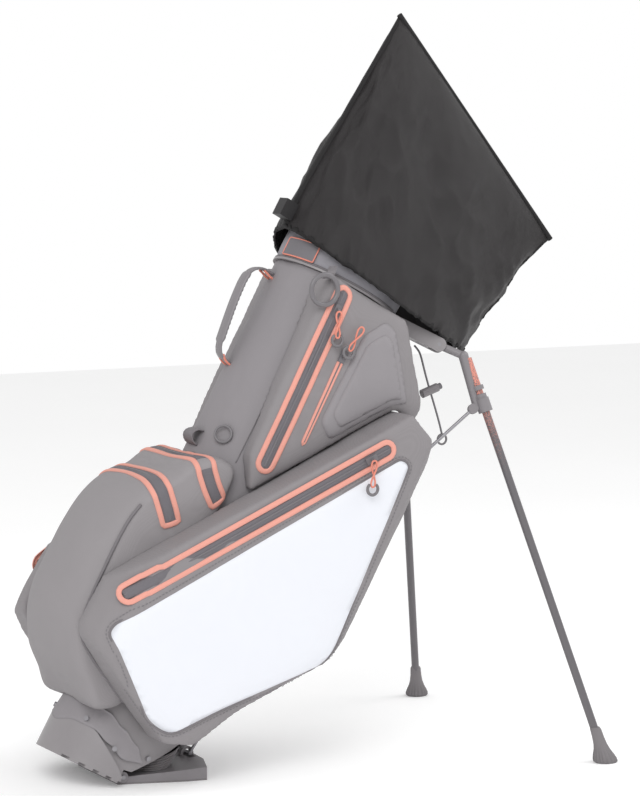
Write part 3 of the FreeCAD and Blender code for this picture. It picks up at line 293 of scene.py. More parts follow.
def finish_piece(name, mesh, look, body, replaces=()):
    piece = bpy.data.objects.new(name, mesh)
    bpy.context.scene.collection.objects.link(piece)
    for polygon in mesh.polygons:
        polygon.use_smooth = True
    dress(mesh, look)
    if body:
        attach(piece, body)
    if replaces:
        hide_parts(*replaces)
    return piece


def baked(piece):
    """Applies a piece's modifiers to its mesh."""
    graph = bpy.context.evaluated_depsgraph_get()
    graph.update()
    mesh = bpy.data.meshes.new_from_object(piece.evaluated_get(graph))
    piece.modifiers.clear()
    piece.data = mesh
    return mesh


def mirrored(piece, name, replaces):
    """The same piece on the bag's far side."""
    mesh = piece.data.copy()
    for vertex in mesh.vertices:
        vertex.co.y = -vertex.co.y
    mesh.flip_normals()
    return finish_piece(name, mesh, mesh.materials[0].name, "bag", replaces)


def evened(mesh, values, rounds=10):
    """Values at a mesh's points, averaged with their neighbours."""
    for _ in range(rounds):
        totals = list(values)
        counts = [1] * len(values)
        for edge in mesh.edges:
            a, b = edge.vertices
            totals[a] += values[b]
            totals[b] += values[a]
            counts[a] += 1
            counts[b] += 1
        values = [total / count for total, count in zip(totals, counts)]
    return values


def puffed(name, node, look, cap, voxel=0.0055, blank=None):
    """A soft piece from its CAD solid or a blank: remeshed, rounded, then inflated as cloth."""
    blown = bpy.data.objects.new(name, blank or NODES[node].data.copy())
    bpy.context.scene.collection.objects.link(blown)
    remesh = blown.modifiers.new("remesh", "REMESH")
    remesh.mode = "VOXEL"
    remesh.voxel_size = voxel
    rounding = blown.modifiers.new("rounding", "SMOOTH")
    rounding.factor = 0.5
    rounding.iterations = ROUNDINGS
    baked(blown)
    start = [vertex.co.copy() for vertex in blown.data.vertices]
    outward = [vertex.normal.copy() for vertex in blown.data.vertices]
    cloth = blown.modifiers.new("cloth", "CLOTH")
    cloth.settings.use_pressure = True
    cloth.settings.uniform_pressure_force = PRESSURE
    cloth.settings.tension_stiffness = 18
    cloth.settings.bending_stiffness = 4
    cloth.settings.effector_weights.gravity = 0
    cloth.point_cache.frame_start = 1
    cloth.point_cache.frame_end = CLOTH_FRAMES
    for number in range(1, CLOTH_FRAMES + 1):
        bpy.context.scene.frame_set(number)
    baked(blown)
    swell = [max(-DENT, min(cap, (vertex.co - first).dot(normal)))
             for vertex, first, normal in zip(blown.data.vertices, start, outward)]
    swell = evened(blown.data, swell)
    for vertex, first, normal, rise in zip(blown.data.vertices, start, outward, swell):
        vertex.co = first + normal * rise
    bpy.context.scene.frame_set(1)
    mesh = blown.data
    for vertex in mesh.vertices:
        place = vertex.co * 9
        vertex.co += vertex.normal * (WRINKLE * noise.noise(place) + CRINKLE * noise.noise(place * 3))
    bpy.data.objects.remove(blown)
    return finish_piece(name, mesh, look, "bag", (node,))


# ---------------------------------------------------------------- laying trims on a surface
class Skin:
    """Finished surfaces that trims are laid on."""

    def __init__(self, *pieces, verts=(), faces=()):
        verts, faces = list(verts), list(faces)
        for piece in pieces:
            first = len(verts)
            verts += [vertex.co.copy() for vertex in piece.data.vertices]
            faces += [[first + i for i in polygon.vertices] for polygon in piece.data.polygons]
        self.tree = BVHTree.FromPolygons(verts, faces)

    def across(self, x, z, side=-1):
        """Where a line across the bag meets its outside, on the near side (-1) or far side (1)."""
        start = world(x, side * 400, z)
        hit, normal, _, _ = self.tree.ray_cast(start, Vector((0, -side, 0)))
        if hit and abs(hit.y) > 0.09:
            return hit, normal
        return self.nearest(world(x, side * 160, z))

    def nearest(self, point):
        hit, normal, _, _ = self.tree.find_nearest(point)
        return hit, normal


def turns(count):
    """Angles all the way round."""
    return [2 * math.pi * k / count for k in range(count)]


def tube_faces(rings, around, joined=False, capped=False):
    """Faces between rings of points: joined ends on the first ring again, capped fills both ends."""
    faces = []
    for i in range(rings if joined else rings - 1):
        j = (i + 1) % rings
        for k in range(around):
            m = (k + 1) % around
            faces.append((i * around + k, i * around + m, j * around + m, j * around + k))
    if capped:
        faces += [tuple(range(around))[::-1], tuple((rings - 1) * around + k for k in range(around))]
    return faces


def sheet_faces(rows, columns):
    """Faces of a grid of points, row by row."""
    wide = columns + 1
    return [(a, a + 1, a + wide + 1, a + wide)
            for row in range(rows) for a in range(row * wide, row * wide + columns)]


def doubled(faces, count):
    """A layer's faces, and the same faces turned over for a second layer of points."""
    return faces + [tuple(count + i for i in face)[::-1] for face in faces]


def heading(path, i, closed=False):
    """The direction of a line at one of its points."""
    before = path[i - 1] if closed or i else path[i]
    after = path[(i + 1) % len(path)] if closed or i < len(path) - 1 else path[i]
    return (after - before).normalized()


def raised(path, skin):
    """A line lifted a little off a surface."""
    return [point + skin.nearest(point)[1] * 0.0012 for point in path]


def spaced(points, step, closed=False):
    """The same line with evenly spaced points."""
    ring = list(points) + ([points[0]] if closed else [])
    lengths = [0.0]
    for first, last in zip(ring, ring[1:]):
        lengths.append(lengths[-1] + (last - first).length)
    count = max(3, round(lengths[-1] / step))
    result, leg = [], 0
    for i in range(count if closed else count + 1):
        goal = lengths[-1] * i / count
        while leg < len(ring) - 2 and lengths[leg + 1] < goal:
            leg += 1
        span = lengths[leg + 1] - lengths[leg] or 1.0
        result.append(ring[leg].lerp(ring[leg + 1], (goal - lengths[leg]) / span))
    return result


def softened(points, rounds=2, closed=False):
    """Corner cutting, which keeps the ends of an open line."""
    for _ in range(rounds):
        ring = list(points) + ([points[0]] if closed else [])
        cut = [] if closed else [points[0]]
        for first, last in zip(ring, ring[1:]):
            cut += [first.lerp(last, 0.25), first.lerp(last, 0.75)]
        points = cut if closed else cut + [points[-1]]
    return points


def band(name, path, skin, width, height, look, slot, closed=False, body="bag", replaces=()):
    """A flat trim with rounded edges, laid along a line on a surface."""
    profile = ((-0.5, 0.0), (-0.46, 0.75), (-0.2, 1.0), (0.2, 1.0), (0.46, 0.75), (0.5, 0.0))
    verts, faces = [], []
    for i, point in enumerate(path):
        hit, normal = skin.nearest(point)
        side = heading(path, i, closed).cross(normal).normalized()
        for across, lift in profile:
            place, up = skin.nearest(hit + side * across * width)
            up = (up + normal).normalized()
            verts.append(place + up * (lift * height - (0 if lift else TUCK)))
    count, size = len(path), len(profile)
    for i in range(count if closed else count - 1):
        j = (i + 1) % count
        for k in range(size - 1):
            faces.append((i * size + k, i * size + k + 1, j * size + k + 1, j * size + k))
    return add_piece(name, verts, faces, look, body, replaces)


def cord(name, path, radius, look, body="bag", closed=False, sides=10, replaces=(), flat=1.0):
    """A round or flattened cord swept along a line."""
    verts = []
    lift = Vector((0.13, 0.97, 0.21)).normalized()
    for i, point in enumerate(path):
        ahead = heading(path, i, closed)
        lift = (lift - ahead * lift.dot(ahead)).normalized()
        side = ahead.cross(lift)
        verts += [point + (lift * math.cos(turn) * flat + side * math.sin(turn)) * radius
                  for turn in turns(sides)]
    faces = tube_faces(len(path), sides, joined=closed, capped=not closed)
    return add_piece(name, verts, faces, look, body, replaces)


def panel(name, outline, skin, side, height, look, step, replaces=(), dome=0.0):
    """A sewn or bonded panel laid on a side of the bag: a gridded sheet with a rounded edge."""
    grid = bmesh.new()
    grid.faces.new([grid.verts.new((x, 0, z)) for x, z in outline])
    for axis, values in ((0, [x for x, _ in outline]), (2, [z for _, z in outline])):
        normal = Vector((axis == 0, 0, axis == 2))
        place = min(values) + step
        while place < max(values):
            parts = list(grid.verts) + list(grid.edges) + list(grid.faces)
            bmesh.ops.bisect_plane(grid, geom=parts, plane_co=normal * place, plane_no=normal, dist=0.01)
            place += step
    on_rim = {vertex for vertex in grid.verts if vertex.is_boundary}
    edges = [vertex.co.copy() for vertex in grid.verts if vertex in on_rim]
    for vertex in grid.verts:
        flat = vertex.co.copy()
        hit, normal = skin.across(flat.x, flat.z, side)
        depth = 0.0 if vertex in on_rim else min((flat - edge).length for edge in edges)
        rise = 0.3 if vertex in on_rim else min(1.0, 0.45 + depth / ROLLED_EDGE)
        vertex.co = hit + normal * height * rise + normal * dome * min(1.0, depth / 40.0)
    loops = bmesh.ops.extrude_edge_only(grid, edges=[edge for edge in grid.edges if edge.is_boundary])
    for vertex in (item for item in loops["geom"] if isinstance(item, bmesh.types.BMVert)):
        near, normal = skin.nearest(vertex.co)
        vertex.co = near - normal * 0.0006
    bmesh.ops.recalc_face_normals(grid, faces=grid.faces)
    mesh = bpy.data.meshes.new(name)
    grid.to_mesh(mesh)
    grid.free()
    return finish_piece(name, mesh, look, "bag", replaces)


def rounded(points, radius, steps=5):
    """A closed outline with its corners turned into arcs."""
    result = []
    count = len(points)
    for i, corner in enumerate(points):
        here = Vector(corner)
        before, after = Vector(points[i - 1]), Vector(points[(i + 1) % count])
        reach = min(radius, (before - here).length * 0.45, (after - here).length * 0.45)
        start = here + (before - here).normalized() * reach
        end = here + (after - here).normalized() * reach
        for k in range(steps + 1):
            t = k / steps
            result.append(tuple(start.lerp(here, t).lerp(here.lerp(end, t), t)))
    return result


def on_side(points, skin, side=-1):
    """Points (x, z) of the bag's frame, placed on the outside of one side."""
    return [skin.across(x, z, side)[0] for x, z in points]


def grown(outline, extra):
    """A convex-ish outline moved outwards."""
    count = len(outline)
    area = sum(outline[i - 1][0] * outline[i][1] - outline[i][0] * outline[i - 1][1] for i in range(count))
    sign = 1 if area > 0 else -1
    result = []
    for i in range(count):
        before, here, after = (Vector(outline[k % count]) for k in (i - 1, i, i + 1))
        ahead = (after - before).normalized()
        result.append(tuple(here + Vector((ahead.y, -ahead.x)) * sign * extra))
    return result


# ---------------------------------------------------------------- upper shell and cuff
SHELL_WALL, PADDING = 2.5, 6.5


def oval_loft(name, rings, ripple, look, replaces, sides=96):
    """A closed skin through level ovals (height, wide, deep), which run up outside and down inside."""
    verts = []
    for height, wide, deep in rings:
        for turn in turns(sides):
            extra = ripple(turn, height)
            verts.append(world((wide + extra) * math.cos(turn), (deep + extra) * math.sin(turn), height))
    return add_piece(name, verts, tube_faces(len(rings), sides, joined=True), look, "bag", replaces)


def make_upper_shell():
    low, high = cad_span("body_tube")
    rows = [low.z + (high.z - low.z) * i / 60 for i in range(61)]
    rings = [(z, high.x, high.y) for z in rows]
    rings += [(z, high.x - SHELL_WALL, high.y - SHELL_WALL) for z in reversed(rows)]

    def crumple(turn, height):
        place = Vector((math.cos(turn) * 2.2, math.sin(turn) * 2.2, height / 95))
        crease = abs(noise.noise(place * 1.7 + Vector((7, 3, 1)))) * 2.2
        return noise.noise(place) * 1.6 - crease
    shell = oval_loft("upper_shell", rings, crumple, "shell_cloth", ("body_tube",))
    skin = Skin(shell)
    forward = BAG.to_3x3() @ Vector((4, 0, 0))
    for name, side in (("near", -1), ("far", 1)):
        seam = [skin.nearest(world(-62, side * high.y * 0.82, z))[0] for z in range(505, 829, 6)]
        cord(f"lap_seam_{name}", seam, 0.0011, "piping")
        stitched(f"lap_stitch_{name}", [point + forward for point in seam], skin)
    return shell


def make_cuff():
    low, high = cad_span("cuff_pad")
    swings = [math.cos(math.pi * i / 14) for i in range(15)]
    heights = [low.z + (high.z - low.z) * (0.5 - 0.5 * swing) for swing in swings]
    rings = []
    for z, swing in zip(heights, swings):
        pulled = PADDING * 0.42 * abs(swing) ** 3
        rings.append((z, high.x - pulled, high.y - pulled))
    rings += [(z, high.x - PADDING, high.y - PADDING) for z in reversed(heights)]

    def soft(turn, height):
        return 0.5 * noise.noise(Vector((math.cos(turn) * 3, math.sin(turn) * 3, height / 40)))
    oval_loft("cuff", rings, soft, "cuff_cloth", ("cuff_pad",))
    inset = 1.6
    for name, height in (("cuff_welt_low", low.z + 1.5), ("cuff_welt_high", high.z - 1.5)):
        ring = [world((high.x - inset) * math.cos(turn), (high.y - inset) * math.sin(turn), height)
                for turn in turns(120)]
        cord(name, ring, 0.0022, "piping", closed=True)


def stitched(name, path, skin, length=0.0036, gap=0.0024, radius=0.0006):
    """A row of stitches along a line on a surface, as one piece."""
    points = spaced(path, length + gap)
    verts, faces = [], []
    for here, after in zip(points, points[1:]):
        hit, normal = skin.nearest(here)
        ahead = after - here
        ahead = (ahead - normal * ahead.dot(normal)).normalized()
        side = ahead.cross(normal) * radius
        first = len(verts)
        for along, lift in ((0, 0.0), (0.25, 1.0), (0.75, 1.0), (1, 0.0)):
            middle = hit + ahead * along * length + normal * radius * (0.3 + lift)
            verts += [middle - side, middle + normal * radius, middle + side]
        for a in range(first, first + 9, 3):
            faces += [(a, a + 1, a + 4, a + 3), (a + 1, a + 2, a + 5, a + 4)]
    add_piece(name, verts, faces, "stitch", "bag")


# ---------------------------------------------------------------- camera, light and floor
# the camera that the photo gave: degrees round and above, metres away, then its aim and lens
CAMERA_TURN, CAMERA_RISE, CAMERA_DISTANCE = -27.81, 7.7, 4.6768
CAMERA_AIM, CAMERA_LENS, CAMERA_SHIFT = Vector((0.300, 0, 0.430)), 134.6, (0.0588, 0.111)
SKY_LIGHT, FLOOR_GLOW, FLOOR_REACH = 0.80, 0.12, 6.0
LAMPS = (("key", (-1.6, -2.6, 3.0), 60.0, 2.2), ("rim", (2.4, -0.6, 2.6), 24.0, 1.6))
LAMP_AIM = Vector((0.3, 0, 0.5))


def make_stage():
    scene = bpy.context.scene
    around, above = math.radians(CAMERA_TURN), math.radians(CAMERA_RISE)
    back = Vector((math.sin(around) * math.cos(above), -math.cos(around) * math.cos(above),
                   math.sin(above)))
    camera = bpy.data.objects.new("camera", bpy.data.cameras.new("camera"))
    scene.collection.objects.link(camera)
    camera.location = CAMERA_AIM + back * CAMERA_DISTANCE
    camera.rotation_euler = (-back).to_track_quat("-Z", "Y").to_euler()
    camera.data.sensor_fit = "VERTICAL"
    camera.data.sensor_height = 36
    camera.data.lens = CAMERA_LENS
    camera.data.shift_x, camera.data.shift_y = CAMERA_SHIFT
    scene.camera = camera

    sky = bpy.data.worlds.new("studio")
    sky.use_nodes = True
    background = sky.node_tree.nodes["Background"]
    background.inputs["Color"].default_value = (1, 1, 1, 1)
    rays = sky.node_tree.nodes.new("ShaderNodeLightPath")
    strength = sky.node_tree.nodes.new("ShaderNodeMapRange")
    strength.inputs["To Min"].default_value = SKY_LIGHT
    sky.node_tree.links.new(rays.outputs["Is Camera Ray"], strength.inputs["Value"])
    sky.node_tree.links.new(strength.outputs[0], background.inputs["Strength"])
    scene.world = sky
    scene.view_settings.view_transform = "Standard"

    for name, place, energy, size in LAMPS:
        lamp = bpy.data.objects.new(name, bpy.data.lights.new(name, "AREA"))
        scene.collection.objects.link(lamp)
        lamp.data.energy = energy
        lamp.data.size = size
        lamp.location = place
        lamp.rotation_euler = (LAMP_AIM - lamp.location).to_track_quat("-Z", "Y").to_euler()

    floor = bpy.data.objects.new("floor", bpy.data.meshes.new("floor"))
    corners = [(x * FLOOR_REACH, y * FLOOR_REACH, 0) for x, y in ((-1, -1), (1, -1), (1, 1), (-1, 1))]
    floor.data.from_pydata(corners, [], [(0, 1, 2, 3)])
    scene.collection.objects.link(floor)
    paint = Shader("floor_paint")
    paint.colour(paint.mixed(paint.noise(2.0), (0.93, 0.93, 0.93, 1), (0.96, 0.96, 0.96, 1)))
    for socket, value in (("Roughness", 0.9), ("Emission Color", (1, 1, 1, 1)),
                          ("Emission Strength", FLOOR_GLOW), ("Specular IOR Level", 0.1)):
        paint.main.inputs[socket].default_value = value
    floor.data.materials.append(paint.material)


# ---------------------------------------------------------------- pockets and their trims
def flat_line(node):
    """Centre, direction, half length and half width of a flat CAD strip, seen from the side."""
    points = [Vector((p.x, p.z)) for p in cad_points(node)]
    middle = sum(points, Vector((0, 0))) / len(points)
    xx = sum((p.x - middle.x) ** 2 for p in points)
    zz = sum((p.y - middle.y) ** 2 for p in points)
    xz = sum((p.x - middle.x) * (p.y - middle.y) for p in points)
    angle = 0.5 * math.atan2(2 * xz, xx - zz)
    along = Vector((math.cos(angle), math.sin(angle)))
    if along.y < 0:
        along = -along
    side = Vector((along.y, -along.x))
    reach = [(p - middle).dot(along) for p in points]
    spread = [(p - middle).dot(side) for p in points]
    middle += along * (max(reach) + min(reach)) / 2 + side * (max(spread) + min(spread)) / 2
    return middle, along, (max(reach) - min(reach)) / 2, (max(spread) - min(spread)) / 2


def stadium(middle, along, half_long, half_wide, taper=1.0, steps=14):
    """A closed track shape; taper is the far end's width as a share of the near end's."""
    side = Vector((along.y, -along.x))
    result = []
    for sign, wide in ((1, half_wide), (-1, half_wide * taper)):
        centre = middle + along * sign * (half_long - wide)
        for k in range(steps + 1):
            turn = math.pi * k / steps
            result.append(tuple(centre + sign * (side * math.cos(turn) + along * math.sin(turn)) * wide))
    return result


def zip_trim(stem, node, skin, side=-1, taper=1.0, welt=8.5):
    """A sealed zip: coral surround laid as a track, dark tape inside it and the coil."""
    middle, along, half_long, half_wide = flat_line(node)
    ring = stadium(middle, along, half_long - welt / 2, half_wide - welt / 2, taper)
    path = spaced(on_side(ring, skin, side), 0.005, closed=True)
    band(stem + "_surround", path, skin, welt * MM, 0.0022, "coral", "coral_trim", closed=True,
         replaces=(node,))
    reach = half_long - welt - 2
    line = [tuple(middle + along * (reach * t)) for t in (-1, -0.5, 0, 0.5, 1)]
    track = spaced(on_side(line, skin, side), 0.005)
    wide = 2 * (half_wide - welt) * MM * 0.96
    band(stem + "_tape", track, skin, wide, 0.0009, "zip_tape", "coral_trim")
    coil = spaced(raised(track, skin), 0.0022)
    cord(stem + "_coil", coil, 0.0016, "dark_plastic", flat=0.6)


BALL_OUTLINE = ((-60, 92), (-100, 68), (-123, 92), (-173, 132), (-208, 175), (-221, 215), (-222, 265),
                (-221, 310), (-212, 360), (-198, 392), (-176, 420), (-150, 437), (-131, 473), (-98, 500),
                (-60, 500))
BALL_CROWN_FROM, BALL_CROWN, BALL_EDGE = -150.0, 26.0, 16.0
BALL_PIPING = ((-31, 96), (-69, 101), (-110, 122), (-144, 138), (-172, 154), (-187, 176), (-193, 215),
               (-195, 290), (-194, 345), (-186, 378))
# half of each zip's arch: x, share of the pocket's half width, z
BALL_ZIPS = {
    "lower": ((-128, 0.96, 372), (-150, 0.95, 396), (-163, 0.84, 412), (-166, 0.5, 421), (-166, 0, 424)),
    "upper": ((-74, 0.92, 434), (-98, 0.9, 452), (-113, 0.72, 468), (-119, 0.4, 478), (-120, 0, 482)),
}


def ball_blank():
    """The ball pocket before it is filled: its outline carried across the bag, crowned at the front."""
    half = cad_span("ball_pocket")[1].y
    tube = cad_span("body_tube")[1]
    outline = rounded(BALL_OUTLINE, 22, steps=4)
    centre = Vector((-140, 270))
    depth = BALL_CROWN_FROM - min(x for x, _ in BALL_OUTLINE)
    ends = [half - 0.2, half - 2, half - 6, half - BALL_EDGE]
    rows = [-y for y in ends] + [half * t / 8 for t in range(-6, 7)] + ends[::-1]
    verts = []
    for y in rows:
        over = max(0.0, abs(y) - (half - BALL_EDGE))
        inset = BALL_EDGE - math.sqrt(max(0.0, BALL_EDGE ** 2 - over ** 2))
        crown = 1 - BALL_CROWN / depth * (y / half) ** 2
        shell_face = -tube.x * math.sqrt(max(0.0, 1 - (y / tube.y) ** 2)) + 1
        for point in outline:
            flat = Vector(point)
            if flat.x < BALL_CROWN_FROM:
                flat.x = BALL_CROWN_FROM + (flat.x - BALL_CROWN_FROM) * crown
            flat += (centre - flat).normalized() * inset * 0.8
            verts.append(world(min(flat.x, shell_face), y, flat.y))
    mesh = bpy.data.meshes.new("ball_blank")
    mesh.from_pydata([tuple(v) for v in verts], [], tube_faces(len(rows), len(outline), capped=True))
    return mesh


def make_ball_pocket():
    ball = puffed("ball_pocket_skin", "ball_pocket", "front_cloth", cap=0.005, blank=ball_blank())
    skin = Skin(ball)
    half = cad_span("ball_pocket")[1].y
    for side, name in ((-1, "near"), (1, "far")):
        line = [world(x, side * half, z) for x, z in BALL_PIPING]
        path = [skin.nearest(point)[0] for point in spaced(softened(line), 0.006)]
        cord(f"ball_piping_{name}", raised(path, skin), 0.0026, "piping")
    for stem, half_line in BALL_ZIPS.items():
        near = [(x, -share * half, z) for x, share, z in half_line]
        full = near + [(x, -y, z) for x, y, z in reversed(near[:-1])]
        line = [skin.nearest(world(*point))[0] for point in full]
        centre = spaced(softened(line), 0.005)
        sides = []
        for sign in (1, -1):
            row = []
            for i, point in enumerate(centre):
                hit, normal = skin.nearest(point)
                across = heading(centre, i).cross(normal).normalized()
                row.append(skin.nearest(hit + across * sign * 0.0135)[0])
            sides += row[::sign]
        ring = spaced(softened(sides, closed=True), 0.005, closed=True)
        taken = ("ball_zip_tracks",) if stem == "lower" else ()
        band(f"ball_zip_{stem}_surround", ring, skin, 0.0085, 0.0022, "coral", "coral_trim",
             closed=True, replaces=taken)
        track = centre[1:-1]
        band(f"ball_zip_{stem}_tape", track, skin, 0.018, 0.0009, "zip_tape", "coral_trim")
        coil = spaced(raised(track, skin), 0.0022)
        cord(f"ball_zip_{stem}_coil", coil, 0.0016, "dark_plastic", flat=0.6)


def outline_of(node):
    """The CAD outline's points seen from the side, in order around the piece."""
    points = {(round(p.x, 1), round(p.z, 1)) for p in cad_points(node)}
    middle = sum((Vector(p) for p in points), Vector((0, 0))) / len(points)
    return sorted(points, key=lambda p: math.atan2(p[1] - middle.y, p[0] - middle.x))


def zip_ground(side):
    """The smooth ground of a side zip: flat along the pocket's face, then round its front corner."""
    face = abs(cad_span("side_panel_near")[1].y) + 2.5
    bend, slope, drop = -146.0, 0.45, 95.0
    verts = []
    for x in (bend - drop, bend - 20, bend, 0, 240):
        sink = max(0.0, bend - x) * slope * (0.7 if x > bend - drop else 1.0)
        verts += [world(x, side * (face - sink), z) for z in (120, 760)]
    quads = [(2 * i, 2 * i + 1, 2 * i + 3, 2 * i + 2)[::side] for i in range(4)]
    return Skin(verts=verts, faces=quads)


def make_side_pockets():
    near = puffed("side_pocket_skin_near", "side_pocket_near", "side_cloth", cap=0.003)
    far = mirrored(near, "side_pocket_skin_far", ("side_pocket_far",))
    outline = rounded(outline_of("side_panel_near"), 20)
    for side, name, piece in ((-1, "near", near), (1, "far", far)):
        skin = Skin(piece)
        panel(f"white_panel_{name}", outline, skin, side, 0.0016, "white_cloth", 12,
              replaces=(f"side_panel_{name}",))
        welt = spaced(on_side(grown(outline, 2.5), skin, side), 0.006, closed=True)
        cord(f"panel_welt_{name}", welt, 0.0016, "piping", closed=True)
        zip_trim(f"side_zip_{name}", f"side_zip_track_{name}", zip_ground(side), side)
        hem = on_side(grown(outline, 7), skin, side)
        stitched(f"panel_stitch_{name}", hem + hem[:1], skin)


def make_garment_pockets():
    near = puffed("garment_skin_near", "garment_pocket_near", "side_cloth", cap=0.005)
    far = mirrored(near, "garment_skin_far", ("garment_pocket_far",))
    outline = rounded(outline_of("eva_panel_near"), 9)
    middle = sum((Vector(p) for p in outline), Vector((0, 0))) / len(outline)
    inner = [tuple(middle + (Vector(p) - middle) * 0.8) for p in outline]
    for side, name, piece in ((-1, "near", near), (1, "far", far)):
        foam = panel(f"foam_panel_{name}", outline, Skin(piece), side, 0.0035, "foam", 8,
                     replaces=(f"eva_panel_{name}",), dome=0.0012)
        panel(f"foam_step_{name}", inner, Skin(foam), side, 0.0022, "foam", 8)
    skin = Skin(near)
    zip_trim("long_zip", "long_zip_track", skin)
    zip_trim("slim_zip", "slim_zip_track", skin, welt=4.5, taper=0.6)


def make_hip_pad():
    skin = Skin(puffed("hip_pad_skin", "hip_pad", "pad_mesh", cap=0.006, voxel=0.004))
    low, high = cad_span("hip_pad")
    for share in (0.28, 0.5, 0.72):
        height = low.z + (high.z - low.z) * share
        line = [world(high.x + 12, y, height) for y in (low.y + 5, low.y / 2, 0, high.y / 2, high.y - 5)]
        path = [skin.nearest(point)[0] for point in spaced(line, 0.004)]
        cord(f"pad_channel_{round(share * 100)}", path, 0.0015, "piping")


# ---------------------------------------------------------------- rain hood
HEM = (Vector((-127, 0, 876)), Vector((253, 0, 861)))
RIDGE = (Vector((-109, 0, 1261)), Vector((318, 0, 1089)))
HOOD_HALF, RIDGE_HALF, HOOD_MIDDLE = 119.0, 7.0, 0.345
HEM_DIP, HOOD_EASE = 24.0, 3.5


def hood_point(turn, share, inset=0.0):
    """A point of the hood in the bag's frame: turn runs round it, share from hem to ridge."""
    ahead, aside = math.cos(turn), abs(math.sin(turn))
    front = HEM[0].lerp(RIDGE[0], share)
    back = HEM[1].lerp(RIDGE[1], share)
    bow = math.sin(math.pi * share)
    front += Vector((-9 * math.sin(math.pi * share ** 0.6) * (1 - share), 0, 0))
    back += Vector((-6 * bow, 0, -5 * bow))
    fall = aside ** 1.5
    if ahead > 0:
        fall = 1.4 * aside ** 0.7 * ahead + fall * (1 - ahead)
    dip = Vector((0, 0, -HEM_DIP * fall * (1 - share) ** 2))
    middle = front.lerp(back, HOOD_MIDDLE)
    deep = RIDGE_HALF + (HOOD_HALF - RIDGE_HALF) * (1 - share) ** 0.7 - inset
    reach = back - middle if ahead > 0 else middle - front
    size = max(1.0, reach.length - inset)
    return middle + reach.normalized() * size * ahead + Vector((0, deep * math.sin(turn), 0)) + dip


def hood_fold(turn, share):
    """How far the cloth stands in or out: long folds that run from the tip to the hem."""
    loose = math.sin(math.pi * (share * 0.9 + 0.08))
    place = Vector((math.cos(turn) * 2.1 + share * 1.6, math.sin(turn) * 2.1, share * 2.6))
    dents = noise.noise(place * 1.3) * 11.0
    creases = (abs(noise.noise(place * 2.6 + Vector((3, 1, 8)))) - 0.2) * -9.0
    fan = math.sin(turn * 7.0 + share * 5.0 + 3.0 * noise.noise(place)) * 2.2
    gathers = 1.6 * max(0.0, 1 - share / 0.12) ** 1.2
    pucker = math.sin(turn * 46.0 + 4 * noise.noise(place * 3)) * gathers
    calm = 1 - 0.85 * math.exp(-((turn - math.pi) / 0.3) ** 2)
    return ((dents + creases + fan) * loose + pucker) * calm


def make_hood():
    around, up = 150, 84
    verts = []
    for inset in (0.0, 1.6):
        for i in range(up + 1):
            for turn in turns(around):
                outward = Vector((math.cos(turn), math.sin(turn), 0.25)).normalized()
                stand = hood_fold(turn, i / up) - HOOD_EASE
                verts.append(BAG @ (hood_point(turn, i / up, inset) + outward * stand))
    inside = (up + 1) * around
    outer = tube_faces(up + 1, around) + [tuple(range(up * around, inside))]
    faces = doubled(outer, inside)
    faces += [(k, inside + k, inside + (k + 1) % around, (k + 1) % around) for k in range(around)]
    hood = add_piece("rain_hood", verts, faces, "hood_cloth", "hood",
                     replaces=("hood_shell",))
    skin = Skin(hood)

    def on_hood(places):
        return [skin.nearest(BAG @ hood_point(turn, share))[0] for turn, share in places]

    def tape(name, path, width, height, **values):
        band(name, spaced(path, 0.006, closed="closed" in values), skin, width, height, "hood_tape",
             "hood_trim", body="hood", **values)
    drop = UP * 0.004
    tape("hood_hem", [point - drop for point in on_hood((turn, 0.004) for turn in turns(160))],
         0.014, 0.0022, closed=True, replaces=("hood_binding",))
    front = on_hood((math.pi, share) for share in (0.01, *(t / 10 for t in range(1, 10)), 0.99))
    tape("hood_zip_flap", front, 0.015, 0.0035)
    lifted = [point + Vector((-0.0022, 0, 0)) for point in spaced(front, 0.005)]
    cord("hood_zip_coil", lifted, 0.0017, "buckle_plastic", body="hood", flat=0.7)
    ridge = [BAG @ (hood_point(0, 1.0).lerp(hood_point(math.pi, 1.0), t / 10) + Vector((0, 0, 0.5)))
             for t in range(11)]
    cord("hood_ridge_seam", spaced(ridge, 0.006), 0.0045, "hood_tape", body="hood", flat=0.9)
    back = on_hood((-0.1, share) for share in (0.01, 0.15, 0.3, 0.45, 0.6, 0.75, 0.9, 0.99))
    tape("hood_back_seam", back, 0.008, 0.0016)


# ---------------------------------------------------------------- straps, rings and pulls
HANDLE_HALF, HANDLE_THICK, PULL_RING = 13.0, 2.6, 9.0
# share of a leg foot's height, radius in metres, share of the ribs' depth
LEG_FOOT_ROWS = ((0.0, 0.0175, 0.0), (0.04, 0.0190, 1.0), (0.12, 0.0188, 1.0), (0.22, 0.0168, 0.8),
                 (0.36, 0.0135, 0.4), (0.52, 0.0112, 0.0), (0.72, 0.0098, 0.0), (0.94, 0.0092, 0.0),
                 (1.0, 0.0078, 0.0))


